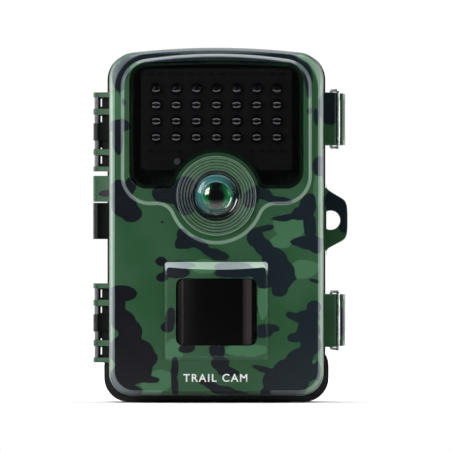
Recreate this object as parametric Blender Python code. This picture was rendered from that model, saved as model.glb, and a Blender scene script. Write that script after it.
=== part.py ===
"""Trail camera: two hinged half cases with infra-red lamps, a lens and a motion sensor in the front half,
and eight AA cells in the rear half. Blender 4.5, metres, +Z up, the lens looks along -Y.

The origin is on the ground under the lens, on the plane where the two halves meet. Sizes below are millimetres.
"""

import math

import bmesh
import bpy
from mathutils import Matrix, Vector

MM = 0.001
GAP = 0.3  # clearance between pieces that touch

# ---- driving dimensions, in millimetres ----
FRONT_W, REAR_W, FOOT_W = 42.3, 43.2, 44.5  # half widths of the front case, the rear case and the foot
FRONT_Z0, REAR_Z0, TOP_Z = 2.6, 2.6, 140.0
ARCH_R, TOP_R, BOTTOM_R = 297.0, 10.5, 9.0  # the domed top, and the corner radii
WALL = 2.0
FACE_Y, PLATE_Y = -29.8, -31.3  # front face, and the raised plate round the lamp window
FRONT_BACK_Y = -0.2
FRAME_Y0, FRAME_Y1 = 0.2, 6.0
REAR_Y0, REAR_Y1, BACK_Y = 6.3, 30.0, 38.0
FOOT_Y0, FOOT_Y1, FOOT_THICK = -6.0, 27.0, 2.1

LENS_Z = 81.5
BEZEL_R, BEZEL_HOLE_R, BEZEL_Y = 15.6, 15.85, -34.6
DOME_R = 10.6

LED_PITCH_X, LED_PITCH_Z, LED_Z0 = 7.95, 6.4, 104.6
LED_COLUMNS, LED_ROWS, LED_R = 7, 4, 2.4
LED_BOARD_Y = -24.6

PIR_W, PIR_Z0, PIR_Z1, PIR_CORNER = 16.0, 22.4, 49.0, 2.8
PIR_FRAME_Y = -33.2

HINGE_X, HINGE_Y = -47.0, 0.0
HINGE_ZS = (106.9, 31.2)
EAR_SPANS = ((13.7, 15.7), (6.8, 9.2), (-9.2, -6.8), (-15.7, -13.7))
EAR_R, PIN_R, PIN_HOLE_R, KNUCKLE_HALF = 1.8, 1.0, 1.2, 3.45
CONDUIT_FRONT_Z, CONDUIT_REAR_Z = (79.2, 89.5), (64.4, 78.8)
CONDUIT_R, LEAD_R = 1.15, 0.8

LATCH_ZS = (112.0, 32.2)
CATCH_HALF, CATCH_X1, LIP_X = 10.5, 47.1, 48.2
WIRE_R, BAR_X, BAR_Y, BAIL_HALF = 0.6, 48.2, -9.8, 11.4
LEVER_X, LEVER_Y = 47.0, 9.0  # lever pivot
BAIL_X, BAIL_Y = 45.6, 15.0  # bail's pivot on the lever
LEVER_PLATE = (49.1, 50.5, 7.5, 31.0)
LEVER_HALF, LEVER_CHEEK = 10.3, 7.6

LOCK_X, LOCK_Z, LOCK_R, LUG_X = 45.3, 71.9, 3.8, 52.0

CELL_R, CELL_LENGTH, CELL_PITCH, CELL_Y = 7.1, 49.2, 15.3, 14.4
BAYS = ((13.5, 70.5), (72.5, 129.5))
STRAP_RAIL_X, STRAP_Z0, STRAP_Z1 = (20.0, 27.0), 55.0, 87.0
TRIPOD_Y, TRIPOD_R = 17.0, 3.175

BOARD_Y0, BOARD_Y1 = -9.4, -8.0
COVER_Y0, COVER_Y1, COVER_Z0 = -3.2, -1.2, 28.0
LCD_Z, LCD_HALF_W, LCD_HALF_H = 101.0, 25.0, 19.0
KEY_Z = 58.5
SWITCH_X, SWITCH_Z = -27.0, 56.0
CARD_X, CARD_Z0 = 14.0, 26.0

CIRCLE = 32


# ---- materials ----
def material(name, colour, roughness, metallic=0.0, alpha=1.0):
    made = bpy.data.materials.new(name)
    made.use_nodes = True
    shader = made.node_tree.nodes["Principled BSDF"]
    shader.inputs["Base Color"].default_value = (*colour, 1.0)
    shader.inputs["Roughness"].default_value = roughness
    shader.inputs["Metallic"].default_value = metallic
    shader.inputs["Alpha"].default_value = alpha
    return made


def all_materials():
    return {
        "camo": material("camo_plastic", (0.06, 0.13, 0.07), 0.45),
        "black": material("black_plastic", (0.012, 0.012, 0.014), 0.5),
        "rubber": material("seal_rubber", (0.02, 0.02, 0.02), 0.8),
        "window": material("lamp_window", (0.004, 0.004, 0.005), 0.05),
        "fresnel": material("sensor_window", (0.01, 0.009, 0.01), 0.3),
        "glass": material("lens_glass", (0.8, 0.9, 0.9), 0.02, alpha=0.3),
        "coated": material("coated_glass", (0.02, 0.12, 0.1), 0.05),
        "board": material("circuit_board", (0.02, 0.16, 0.06), 0.4),
        "lamp": material("lamp_board", (0.03, 0.03, 0.035), 0.3),
        "steel": material("spring_steel", (0.7, 0.7, 0.7), 0.25, 1.0),
        "brass": material("brass", (0.8, 0.6, 0.25), 0.3, 1.0),
        "screen": material("screen", (0.02, 0.025, 0.03), 0.1),
        "key": material("key_rubber", (0.25, 0.26, 0.27), 0.6),
        "card": material("memory_card", (0.02, 0.03, 0.08), 0.4),
        "cell": material("cell_jacket", (0.12, 0.13, 0.14), 0.35, 0.6),
        "lead": material("battery_lead", (0.4, 0.02, 0.02), 0.5),
    }


# ---- outlines, as lists of (x, z) running anticlockwise ----
def arc(cx, cz, radius, start, end, steps):
    """Points from angle start to end, in degrees, both ends included."""
    angles = [math.radians(start + (end - start) * i / steps) for i in range(steps + 1)]
    return [(cx + radius * math.cos(a), cz + radius * math.sin(a)) for a in angles]


def mirrored(half):
    """A right-hand half that runs from the bottom to the top, closed with its mirror image."""
    left = [(-x, z) for x, z in reversed(half)]
    return half + [p for p in left if abs(p[0]) > 1e-6]


def domed_top(half_w, top, arch_r, corner_r, steps=6):
    """The right-hand corner and half of the arch, from the side up to the middle of the top."""
    arch_z = top - arch_r
    reach = arch_r - corner_r
    corner_z = arch_z + math.sqrt(reach**2 - (half_w - corner_r) ** 2)
    turn = math.degrees(math.atan2(corner_z - arch_z, half_w - corner_r))
    return arc(half_w - corner_r, corner_z, corner_r, 0, turn, steps) + arc(
        0, arch_z, arch_r, turn, 90, 4
    )[1:]


def case_outline(half_w, bottom, top, inset=0.0, top_r=TOP_R, bottom_r=BOTTOM_R, arch_r=ARCH_R):
    w = half_w - inset
    low = arc(w - bottom_r + inset, bottom + bottom_r, bottom_r - inset, -90, 0, 6)
    return mirrored(low + domed_top(w, top - inset, arch_r - inset, top_r - inset))


def plate_outline(inset=0.0):
    """The raised plate: domed top, round lower corners, and a round lobe under the lens."""
    w, corner, line_z, lobe, fillet = 37.7, 11.5, 77.8, 19.2, 6.0
    fillet_z = line_z - fillet
    fillet_x = math.sqrt((lobe + fillet) ** 2 - (LENS_Z - fillet_z) ** 2)
    turn = math.degrees(math.atan2(fillet_z - LENS_Z, fillet_x))
    half = arc(0, LENS_Z, lobe - inset, -90, turn, 7)
    half += arc(fillet_x, fillet_z, fillet + inset, turn + 180, 90, 5)
    half += arc(w - corner, line_z + corner, corner - inset, -90, 0, 6)
    return mirrored(half + domed_top(w - inset, 137.6 - inset, 190.0 - inset, 11.0 - inset))


def window_outline(inset=0.0):
    """The lamp window: domed top, with a round bite out of its lower edge for the lens."""
    w, corner, line_z, bite, tip = 34.4, 7.0, 84.3, 17.0, 3.0
    tip_z = line_z + tip
    tip_x = math.sqrt((bite + tip) ** 2 - (tip_z - LENS_Z) ** 2)
    turn = math.degrees(math.atan2(tip_z - LENS_Z, tip_x))
    half = arc(0, LENS_Z, bite + inset, 90, turn, 8)
    half += arc(tip_x, tip_z, tip - inset, turn + 180, 270, 4)
    half += arc(w - corner, line_z + corner, corner - inset, -90, 0, 5)
    return mirrored(half + domed_top(w - inset, 135.0 - inset, 400.0, 7.0 - inset, 5))


def round_rect(x0, x1, z0, z1, radius, steps=4):
    corners = ((x1, z0, -90), (x1, z1, 0), (x0, z1, 90), (x0, z0, 180))
    points = []
    for x, z, start in corners:
        cx = x - radius if x == x1 else x + radius
        cz = z + radius if z == z0 else z - radius
        points += arc(cx, cz, radius, start, start + 90, steps)
    return points


# ---- solids ----
def finished(name, bm, paint=None, smooth=35.0):
    """An object from a bmesh in millimetres, with its faces pointing out."""
    bmesh.ops.remove_doubles(bm, verts=bm.verts, dist=1e-4)
    bmesh.ops.recalc_face_normals(bm, faces=bm.faces)
    bmesh.ops.scale(bm, vec=(MM, MM, MM), verts=bm.verts)
    mesh = bpy.data.meshes.new(name)
    bm.to_mesh(mesh)
    bm.free()
    mesh.shade_smooth()
    mesh.set_sharp_from_angle(angle=math.radians(smooth))
    made = bpy.data.objects.new(name, mesh)
    bpy.context.scene.collection.objects.link(made)
    if paint:
        mesh.materials.append(paint)
    return made


def loft(name, sections, paint=None):
    """A closed solid through outlines of equal length, each given as (y, outline)."""
    bm = bmesh.new()
    rings = [[bm.verts.new((x, y, z)) for x, z in outline] for y, outline in sections]
    for low, high in zip(rings, rings[1:]):
        for i in range(len(low)):
            j = (i + 1) % len(low)
            bm.faces.new((low[i], low[j], high[j], high[i]))
    bm.faces.new(rings[0])
    bm.faces.new(rings[-1])
    return finished(name, bm, paint)


def slab(name, outline, y0, y1, paint=None):
    return loft(name, [(y0, outline), (y1, outline)], paint)


def box(name, x0, x1, y0, y1, z0, z1, paint=None):
    return slab(name, [(x0, z0), (x1, z0), (x1, z1), (x0, z1)], y0, y1, paint)


def upright(name, outline, z0, z1, paint=None):
    """A solid with its outline, a list of (x, y), seen from above."""
    bm = bmesh.new()
    rings = [[bm.verts.new((x, y, z)) for x, y in outline] for z in (z0, z1)]
    for i in range(len(outline)):
        j = (i + 1) % len(outline)
        bm.faces.new((rings[0][i], rings[0][j], rings[1][j], rings[1][i]))
    bm.faces.new(rings[0])
    bm.faces.new(rings[1])
    return finished(name, bm, paint)


def turned(name, profile, centre, direction, paint=None, sides=CIRCLE):
    """A solid of revolution. The profile is (radius, height) up the axis, and it starts and ends on the axis."""
    bm = bmesh.new()
    rings = []
    for radius, height in profile:
        if radius < 1e-6:
            rings.append([bm.verts.new((0, 0, height))])
            continue
        turns = [2 * math.pi * i / sides for i in range(sides)]
        rings.append([bm.verts.new((radius * math.cos(a), radius * math.sin(a), height)) for a in turns])
    for low, high in zip(rings, rings[1:]):
        for i in range(sides):
            j = (i + 1) % sides
            corners = [low[i % len(low)], low[j % len(low)], high[j % len(high)], high[i % len(high)]]
            face = list(dict.fromkeys(corners))
            if len(face) > 2:
                bm.faces.new(face)
    turn = Vector((0, 0, 1)).rotation_difference(Vector(direction)).to_matrix().to_4x4()
    bmesh.ops.transform(bm, matrix=Matrix.Translation(centre) @ turn, verts=bm.verts)
    return finished(name, bm, paint)


def ring(name, profile, centre, direction, paint=None, sides=CIRCLE):
    """A ring of revolution, from a closed profile that stays off the axis."""
    bm = bmesh.new()
    turns = [2 * math.pi * i / sides for i in range(sides)]
    rings = [[bm.verts.new((r * math.cos(a), r * math.sin(a), h)) for a in turns] for r, h in profile]
    for k, low in enumerate(rings):
        high = rings[(k + 1) % len(rings)]
        for i in range(sides):
            j = (i + 1) % sides
            bm.faces.new((low[i], low[j], high[j], high[i]))
    turn = Vector((0, 0, 1)).rotation_difference(Vector(direction)).to_matrix().to_4x4()
    bmesh.ops.transform(bm, matrix=Matrix.Translation(centre) @ turn, verts=bm.verts)
    return finished(name, bm, paint)


def rod(name, start, end, radius, paint=None, sides=16):
    start, end = Vector(start), Vector(end)
    length = (end - start).length
    profile = [(0, 0), (radius, 0), (radius, length), (0, length)]
    return turned(name, profile, start, end - start, paint, sides)


def wire(name, points, radius, paint):
    """A round wire along a list of points in millimetres."""
    curve = bpy.data.curves.new(name, "CURVE")
    curve.dimensions = "3D"
    curve.bevel_depth = radius * MM
    curve.bevel_resolution = 2
    curve.use_fill_caps = True
    spline = curve.splines.new("POLY")
    spline.points.add(len(points) - 1)
    for point, place in zip(spline.points, points):
        point.co = (*(v * MM for v in place), 1.0)
    curve.materials.append(paint)
    made = bpy.data.objects.new(name, curve)
    bpy.context.scene.collection.objects.link(made)
    return made


def combine(target, other, operation):
    """Adds or cuts with another object, which then only shapes this one."""
    modifier = target.modifiers.new(f"{operation.lower()}_{other.name}"[:60], "BOOLEAN")
    modifier.operation = operation
    modifier.object = other
    other.hide_render = True
    other.display_type = "WIRE"
    return target


def add(target, *others):
    for other in others:
        combine(target, other, "UNION")
    return target


def cut(target, *others):
    for other in others:
        combine(target, other, "DIFFERENCE")
    return target


def arm_outline(cx, cy, radius, wall_x, y0, y1):
    """From above: a round eye at (cx, cy), joined to a wall at wall_x between y0 and y1."""
    side = 1 if wall_x > cx else -1
    eye = [
        (cx + radius * math.cos(a) * side, cy + radius * math.sin(a))
        for a in (math.radians(t) for t in range(90, 271, 20))
    ]
    return eye + [(wall_x, y0), (wall_x, y1)]


# ---- front half ----
def catch(z):
    """The block that the wire bail hooks on. Its outer front corner is a lip the wire bears on."""
    outline = [
        (FRONT_W - 1.5, -11.0),
        (CATCH_X1, -11.0),
        (CATCH_X1, BAR_Y + WIRE_R + GAP),
        (LIP_X, BAR_Y + WIRE_R + GAP),
        (LIP_X, -4.0),
        (CATCH_X1, -1.0),
        (FRONT_W - 1.5, -1.0),
    ]
    return upright(f"catch_{z:.0f}", outline, z - CATCH_HALF, z + CATCH_HALF)


def lug_outline(base_x):
    return [
        (base_x, 58.0),
        (base_x + 1.4, 60.0),
        (46.3, 62.0),
        (50.7, 63.9),
        (LUG_X, 66.2),
        (LUG_X, 77.8),
        (50.9, 80.2),
        (46.8, 81.9),
        (base_x + 1.4, 84.0),
        (base_x, 86.0),
    ]


def lock_hole(name, y0, y1):
    """Round, but flat along the case wall."""
    flat = REAR_W + 0.4
    turn = math.degrees(math.acos((flat - LOCK_X) / LOCK_R))
    return slab(name, arc(LOCK_X, LOCK_Z, LOCK_R, -turn, turn, 16), y0, y1)


def hinge_ears():
    ears = []
    for z in HINGE_ZS:
        for low, high in EAR_SPANS:
            outline = arm_outline(HINGE_X, HINGE_Y, EAR_R, -FRONT_W + 1.5, -6.0, -3.0)
            ears.append(upright(f"ear_{z + low:.1f}", outline, z + low, z + high))
    return ears


def front_case(paint):
    outline = case_outline(FRONT_W, FRONT_Z0, TOP_Z)
    face = case_outline(40.2, 4.8, 139.3, top_r=14.0, bottom_r=8.0, arch_r=260.0)
    made = loft("front_case", [(FRONT_BACK_Y, outline), (-25.5, outline), (FACE_Y, face)], paint)
    plate = loft(
        "raised_plate",
        [(FACE_Y + 1.5, plate_outline()), (FACE_Y, plate_outline()), (PLATE_Y, plate_outline(1.1))],
    )
    frame_base = round_rect(-20.2, 20.2, 16.9, 54.8, 1.5)
    frame_top = round_rect(-18.7, 18.7, 18.5, 52.2, 1.5)
    sensor_frame = loft(
        "sensor_frame", [(FACE_Y + 1.5, frame_base), (FACE_Y, frame_base), (PIR_FRAME_Y, frame_top)]
    )
    lug = slab("front_lug", lug_outline(FRONT_W - 1.5), -4.0, -0.3)
    knuckle = upright(
        "front_conduit",
        arm_outline(HINGE_X, HINGE_Y, EAR_R + 0.1, -FRONT_W + 1.5, -6.0, -3.0),
        *CONDUIT_FRONT_Z,
    )
    add(made, plate, sensor_frame, lug, knuckle, *hinge_ears())
    add(made, *[catch(z) for z in LATCH_ZS])
    inner = case_outline(FRONT_W, FRONT_Z0, TOP_Z, inset=WALL)
    inner_face = case_outline(38.6, 6.4, 137.7, top_r=12.4, bottom_r=6.4, arch_r=258.0)
    cut(
        made,
        loft("front_hollow", [(1.0, inner), (-24.6, inner), (FACE_Y + 2.4, inner_face)]),
        slab("window_seat", window_outline(-0.15), -36.0, -28.7),
        slab("window_opening", window_outline(1.5), -36.0, -20.0),
        rod("bezel_hole", (0, -36, LENS_Z), (0, -20, LENS_Z), BEZEL_HOLE_R, sides=48),
        slab("sensor_opening", round_rect(-PIR_W, PIR_W, PIR_Z0, PIR_Z1, PIR_CORNER), -36.0, -20.0),
        rod("sound_hole", (-21.3, -34, 71.1), (-21.3, -20, 71.1), 0.5, sides=12),
        lock_hole("front_lock_hole", -6.0, 2.0),
        rod("front_conduit_bore", (HINGE_X, HINGE_Y, 70), (HINGE_X, HINGE_Y, 87.2), CONDUIT_R),
        rod("front_conduit_way", (HINGE_X + 0.1, HINGE_Y, 86), (-38.0, -6.0, 86), CONDUIT_R - 0.1, sides=12),
    )
    for z in HINGE_ZS:
        low, high = (HINGE_X, HINGE_Y, z - 16.5), (HINGE_X, HINGE_Y, z + 16.5)
        cut(made, rod(f"front_pin_hole_{z:.0f}", low, high, PIN_HOLE_R))
    return made


def lamp_board(paint):
    """The lamp board with its round-nosed lamps soldered on."""
    made = slab("ir_led_board", round_rect(-30, 30, 91.5, 132.0, 1.5, 2), LED_BOARD_Y, LED_BOARD_Y + 1.6, paint)
    nose = [(0, 0), (LED_R, 0), (LED_R, 2.0), (LED_R * 0.75, 3.1), (0, 3.7)]
    for row in range(LED_ROWS):
        for column in range(LED_COLUMNS):
            x = (column - (LED_COLUMNS - 1) / 2) * LED_PITCH_X
            place = (x, LED_BOARD_Y + 0.4, LED_Z0 + row * LED_PITCH_Z)
            add(made, turned(f"lamp_{row}_{column}", nose, place, (0, -1, 0), sides=8))
    return made


def lens_parts(m):
    """Everything on the lens's axis, from the bezel back to the sensor block. Heights are distances forward of Y 0."""
    at, ahead = (0, 0, LENS_Z), (0, -1, 0)
    bezel = [
        (BEZEL_R, 27.0),
        (BEZEL_R, 33.9),
        (BEZEL_R - 0.7, -BEZEL_Y),
        (14.2, -BEZEL_Y),
        (13.8, 33.6),
        (13.0, 33.6),
        (12.7, 32.8),
        (12.0, 32.8),
        (11.7, 32.0),
        (DOME_R + 0.3, 32.0),
        (DOME_R + 0.3, 29.8),
        (8.9, 29.8),
        (8.9, 27.0),
    ]
    ring("lens_bezel", bezel, at, ahead, m["camo"], 40)
    dome_back, dome_front = 30.1, 31.4
    arch = [(DOME_R * math.cos(math.radians(t)), dome_front + 2.4 * math.sin(math.radians(t))) for t in range(0, 91, 18)]
    under = [(0.9 * r, h - 1.3) for r, h in reversed(arch)]
    turned("lens_window", [*under, (DOME_R, dome_back), *arch], at, ahead, m["glass"], 32)
    barrel = [(0, 16.6), (6.0, 16.6), (6.0, 22.0), (8.4, 23.0), (8.4, 29.4), (7.6, 29.4), (6.3, 28.0), (0, 28.0)]
    turned("lens_barrel", barrel, at, ahead, m["black"], 28)
    element = [(0, 28.3), (6.0, 28.3), (4.6, 28.9), (2.4, 29.3), (0, 29.45)]
    turned("front_element", element, at, ahead, m["coated"], 24)
    holder = box("lens_holder", -14, 14, -19.0, BOARD_Y0 - GAP, LENS_Z - 8.5, LENS_Z + 8.5, m["black"])
    cut(
        holder,
        rod("barrel_bore", (0, -25, LENS_Z), (0, -16.2, LENS_Z), 6.3, sides=32),
        rod("light_bore", (0, -25, LENS_Z), (0, -8, LENS_Z), 3.6),
        box("filter_slot", -13.2, 16.0, -13.6, -12.2, LENS_Z - 5.2, LENS_Z + 5.2),
    )
    box("ir_cut_filter", -4.6, 4.6, -13.2, -12.6, LENS_Z - 4.8, LENS_Z + 4.8, m["coated"])


def sensor_parts(m):
    """The motion sensor: a bowed window in its frame, and the round can behind it."""
    half, bow, thick, steps = PIR_W - GAP, 1.5, 1.0, 10
    xs = [half * (2 * i / steps - 1) for i in range(steps + 1)]
    front = [(x, -30.6 - bow * (1 - (x / half) ** 2)) for x in xs]
    back = [(x, y + thick) for x, y in reversed(front)]
    made = upright("pir_lens", front + back, PIR_Z0 + GAP, PIR_Z1 - GAP, m["fresnel"])
    flange = slab(
        "pir_flange", round_rect(-PIR_W - 1.8, PIR_W + 1.8, PIR_Z0 - 1.8, PIR_Z1 + 1.8, 3.0), -27.0, -26.0
    )
    skirt = slab("pir_skirt", round_rect(-half, half, PIR_Z0 + GAP, PIR_Z1 - GAP, 2.5), -30.2, -26.5)
    rounded = slab("pir_corners", round_rect(-half, half, PIR_Z0 + GAP, PIR_Z1 - GAP, 2.5), -36.0, -28.0)
    combine(made, rounded, "INTERSECT")
    add(made, skirt, flange)
    middle = (PIR_Z0 + PIR_Z1) / 2
    inside = slab("pir_inside", round_rect(-half + 1, half - 1, PIR_Z0 + 1.3, PIR_Z1 - 1.3, 1.5), -29.8, -20.0)
    cut(made, inside)
    can = [(0, 9.7), (4.6, 9.7), (4.6, 10.3), (4.1, 10.3), (4.1, 14.0), (0, 14.0)]
    turned("pir_sensor", can, (0, 0, middle), (0, -1, 0), m["steel"], 24)


def inner_parts(m):
    """What shows when the front half swings open, and the boards behind it."""
    slab("main_board", round_rect(-37, 37, 30.0, 131.0, 2.0, 2), BOARD_Y0, BOARD_Y1, m["board"])
    box("lcd_panel", -30, 30, BOARD_Y1 + GAP, -4.6, LCD_Z - 21.5, LCD_Z + 21.5, m["screen"])
    outline = case_outline(FRONT_W, COVER_Z0, TOP_Z, inset=WALL + GAP)
    cover = slab("inner_cover", outline, COVER_Y0, COVER_Y1, m["black"])
    screen = (-LCD_HALF_W, LCD_HALF_W, LCD_Z - LCD_HALF_H, LCD_Z + LCD_HALF_H)
    cut(cover, slab("screen_opening", round_rect(*screen, 1.0, 2), -5, 2))
    pocket = (-LCD_HALF_W - 2, LCD_HALF_W + 2, LCD_Z - LCD_HALF_H - 2, LCD_Z + LCD_HALF_H + 2)
    cut(cover, slab("screen_pocket", round_rect(*pocket, 2.0, 3), -2.3, 2))
    inset = (pocket[0] + GAP, pocket[1] - GAP, pocket[2] + GAP, pocket[3] - GAP)
    slab("lcd_window", round_rect(*inset, 1.8, 3), -2.0, -1.3, m["glass"])
    keys = {
        "button_ok": (14.0, KEY_Z, 4.0),
        "button_up": (14.0, KEY_Z + 10.5, 3.2),
        "button_down": (14.0, KEY_Z - 10.5, 3.2),
        "button_left": (3.5, KEY_Z, 3.2),
        "button_right": (24.5, KEY_Z, 3.2),
        "button_menu": (-9.5, KEY_Z, 3.2),
    }
    for name, (x, z, radius) in keys.items():
        cut(cover, rod(f"{name}_hole", (x, -6, z), (x, 2, z), radius + 0.4, sides=24))
        cap = [(0, 0.4), (radius - 0.4, 0.4), (radius, 0.8), (radius, 3.6)]
        cap += [(radius + 1.2, 3.6), (radius + 1.2, 4.6), (0, 4.6)]
        turned(name, cap, (x, 0, z), (0, -1, 0), m["key"], 18)
    slot = (SWITCH_X - 2.4, SWITCH_X + 2.4, SWITCH_Z - 4.4, SWITCH_Z + 9.4)
    cut(cover, slab("switch_slot", round_rect(*slot, 0.8, 2), -6, 2))
    knob = box("mode_switch", SWITCH_X - 2, SWITCH_X + 2, -4.4, -0.4, SWITCH_Z - 4, SWITCH_Z + 4, m["key"])
    add(knob, box("switch_foot", SWITCH_X - 3.6, SWITCH_X + 3.6, -5.8, -3.9, SWITCH_Z - 5, SWITCH_Z + 5))
    socket = box("card_socket", CARD_X - 14, CARD_X + 14, BOARD_Y1 + GAP, -4.0, 31.0, 50.0 - 8, m["steel"])
    cut(socket, box("card_slot", CARD_X - 12.4, CARD_X + 12.4, -7.3, -4.6, 25.0, 41.0))
    card = [
        (CARD_X - 12, CARD_Z0 - 2),
        (CARD_X + 12, CARD_Z0 - 2),
        (CARD_X + 12, 40.7),
        (CARD_X - 9.5, 40.7),
        (CARD_X - 12, 38.2),
    ]
    slab("sd_card", card, -7.0, -4.9, m["card"])
    usb = box("usb_socket", -24.0, -16.0, BOARD_Y1 + GAP, -4.9, 30.5, 36.0, m["steel"])
    cut(usb, box("usb_mouth", -23.3, -16.7, -7.2, -5.5, 25.0, 35.0))
    rod("microphone", (-21.3, -27.1, 71.1), (-21.3, -24.0, 71.1), 3.0, m["steel"], 20)
    rod("speaker", (-24.0, BOARD_Y0 - GAP, 50.0), (-24.0, -14.0, 50.0), 8.0, m["black"], 28)
    rod("light_sensor", (-15.4, -28.4, 95.1), (-15.4, -24.9, 95.1), 1.4, m["lamp"], 16)
    for n, (x, z) in enumerate(((-34.5, 34.0), (34.5, 34.0), (-34.5, 128.0), (34.5, 128.0)), 1):
        cut(cover, rod(f"screw_hole_{n}", (x, -6, z), (x, 2, z), 1.6))
        screw = [(0, 0.5), (2.6, 0.5), (2.6, 0.9), (1.3, 0.9), (1.3, 7.4), (0, 7.4)]
        head = turned(f"cover_screw_{n}", screw, (x, 0, z), (0, -1, 0), m["steel"], 16)
        cut(head, box(f"screw_recess_{n}", x - 1.5, x + 1.5, -0.7, 1, z - 0.3, z + 0.3))


# ---- rear half ----
def rear_frame(paint):
    """The black rim between the halves, with the foot, the hinge knuckles and the seal's groove."""
    outer = case_outline(REAR_W, 1.0, TOP_Z - 0.1)
    made = slab("rear_frame", outer, FRAME_Y0, FRAME_Y1, paint)
    cut(made, slab("frame_opening", case_outline(REAR_W, 1.0, TOP_Z, inset=5.6), -1, 8))
    foot_outline = mirrored(arc(FOOT_W - 9.5, 9.5, 9.5, -90, 0, 6) + [(FOOT_W, 16.0), (REAR_W + 0.3, 18.5)])
    foot = slab("foot", foot_outline, FOOT_Y0, FOOT_Y1)
    hollow = mirrored(
        arc(REAR_W + GAP - BOTTOM_R, FOOT_THICK + BOTTOM_R, BOTTOM_R, -90, 0, 6) + [(REAR_W + GAP, 30.0)]
    )
    cut(foot, slab("foot_rear_hollow", hollow, FRAME_Y1, 40.0), slab("foot_front_hollow", hollow, -20.0, FRAME_Y0))
    cut(foot, box("foot_heart", -37.6, 37.6, -1, 8, 6.6, 40))
    cut(foot, box("foot_front_trim", -60, 60, -20, FRAME_Y0, FOOT_THICK, 40))
    add(made, foot)
    groove = slab("seal_groove", case_outline(REAR_W, 1.0, TOP_Z, inset=1.8), -1, 2.3)
    cut(groove, slab("seal_groove_core", case_outline(REAR_W, 1.0, TOP_Z, inset=4.0), -2, 4))
    cut(made, groove)
    for z in HINGE_ZS:
        pad = box(f"hinge_pad_{z:.0f}", -45.4, -REAR_W + 2, 2.6, FRAME_Y1, z - 15.4, z + 15.4)
        arm = arm_outline(HINGE_X, HINGE_Y, EAR_R, -REAR_W + 2, 0.8, 5.4)
        knuckle = upright(f"knuckle_{z:.0f}", arm, z - KNUCKLE_HALF, z + KNUCKLE_HALF)
        add(made, pad, knuckle)
    arm = arm_outline(HINGE_X, HINGE_Y, EAR_R, -REAR_W + 2, 0.8, 5.4)
    add(made, upright("rear_conduit", arm, *CONDUIT_REAR_Z))
    for z in HINGE_ZS:
        low, high = (HINGE_X, HINGE_Y, z - 16.5), (HINGE_X, HINGE_Y, z + 16.5)
        cut(made, rod(f"rear_pin_hole_{z:.0f}", low, high, PIN_HOLE_R))
    cut(
        made,
        rod("rear_conduit_bore", (HINGE_X, HINGE_Y, 68), (HINGE_X, HINGE_Y, 90), CONDUIT_R),
        rod("rear_conduit_way", (HINGE_X + 0.1, HINGE_Y, 70), (-35.0, 6.6, 70), CONDUIT_R - 0.1, sides=12),
        rod("foot_socket_hole", (0, TRIPOD_Y, -2), (0, TRIPOD_Y, 6), 4.6, sides=24),
    )
    return made


def strap_rails():
    """Two toothed rails down the back that bite on the bark."""
    rails = []
    x0, x1 = STRAP_RAIL_X
    teeth, low, high = 8, 30.0, 112.0
    step = (high - low) / teeth
    for side in (-1, 1):
        outline = [(26.0, low), (26.0, high)]
        for tooth in reversed(range(teeth)):
            outline += [(BACK_Y - 2.0, low + step * (tooth + 1)), (BACK_Y, low + step * (tooth + 0.5))]
        outline.append((BACK_Y - 2.0, low))
        bm = bmesh.new()
        ends = [[bm.verts.new((x * side, y, z)) for y, z in outline] for x in (x0, x1)]
        for i in range(len(outline)):
            j = (i + 1) % len(outline)
            bm.faces.new((ends[0][i], ends[0][j], ends[1][j], ends[1][i]))
        bm.faces.new(ends[0])
        bm.faces.new(ends[1])
        rails.append(finished(f"strap_rail_{side}", bm))
    return rails


def rear_case(paint):
    rim = case_outline(REAR_W, REAR_Z0, TOP_Z - 0.1)
    back = case_outline(36.0, 9.5, 133.0, top_r=9.0, bottom_r=8.0)
    made = loft("rear_case", [(REAR_Y0, rim), (23.0, rim), (REAR_Y1, back)], paint)
    lug = slab("rear_lug", lug_outline(REAR_W - 1.0), REAR_Y0 + 0.1, 10.5)
    tab = [p for p in lug_outline(REAR_W + 0.4) if p[0] > REAR_W]
    add(made, *strap_rails(), lug, slab("rear_lug_tab", tab, 0.3, 10.5))
    for z in LATCH_ZS:
        arm = arm_outline(LEVER_X, LEVER_Y, 1.7, REAR_W - 1.5, 8.0, 12.0)
        add(made, upright(f"lever_knuckle_{z:.0f}", arm, z - 7.2, z + 7.2))
    inner = case_outline(REAR_W, REAR_Z0, TOP_Z - 0.1, inset=WALL)
    inner_back = case_outline(34.4, 11.1, 131.4, top_r=7.4, bottom_r=6.4)
    cut(made, loft("rear_hollow", [(2.0, inner), (22.4, inner), (REAR_Y1 - 2.2, inner_back)]))
    boss = rod("socket_boss", (0, TRIPOD_Y, 3.0), (0, TRIPOD_Y, 11.0), 6.6, sides=24)
    add(made, boss)
    cut(
        made,
        rod("socket_bore", (0, TRIPOD_Y, -2), (0, TRIPOD_Y, 10.2), 4.3, sides=24),
        lock_hole("rear_lock_hole", -3.0, 14.0),
    )
    for side in (-1, 1):
        x0, x1 = sorted((side * (STRAP_RAIL_X[0] - 2), side * (STRAP_RAIL_X[1] + 2)))
        cut(made, box(f"strap_slot_{side}", x0, x1, REAR_Y1 + 0.4, REAR_Y1 + 5.2, STRAP_Z0, STRAP_Z1))
    for z in LATCH_ZS:
        cut(made, rod(f"lever_pin_hole_{z:.0f}", (LEVER_X, LEVER_Y, z - 12), (LEVER_X, LEVER_Y, z + 12), 1.0))
    return made


def seal(paint):
    made = slab("seal_gasket", case_outline(REAR_W, 1.0, TOP_Z, inset=1.8 + GAP), 0.25, 2.0, paint)
    cut(made, slab("seal_core", case_outline(REAR_W, 1.0, TOP_Z, inset=4.0 - GAP), -2, 4))
    return made


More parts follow.
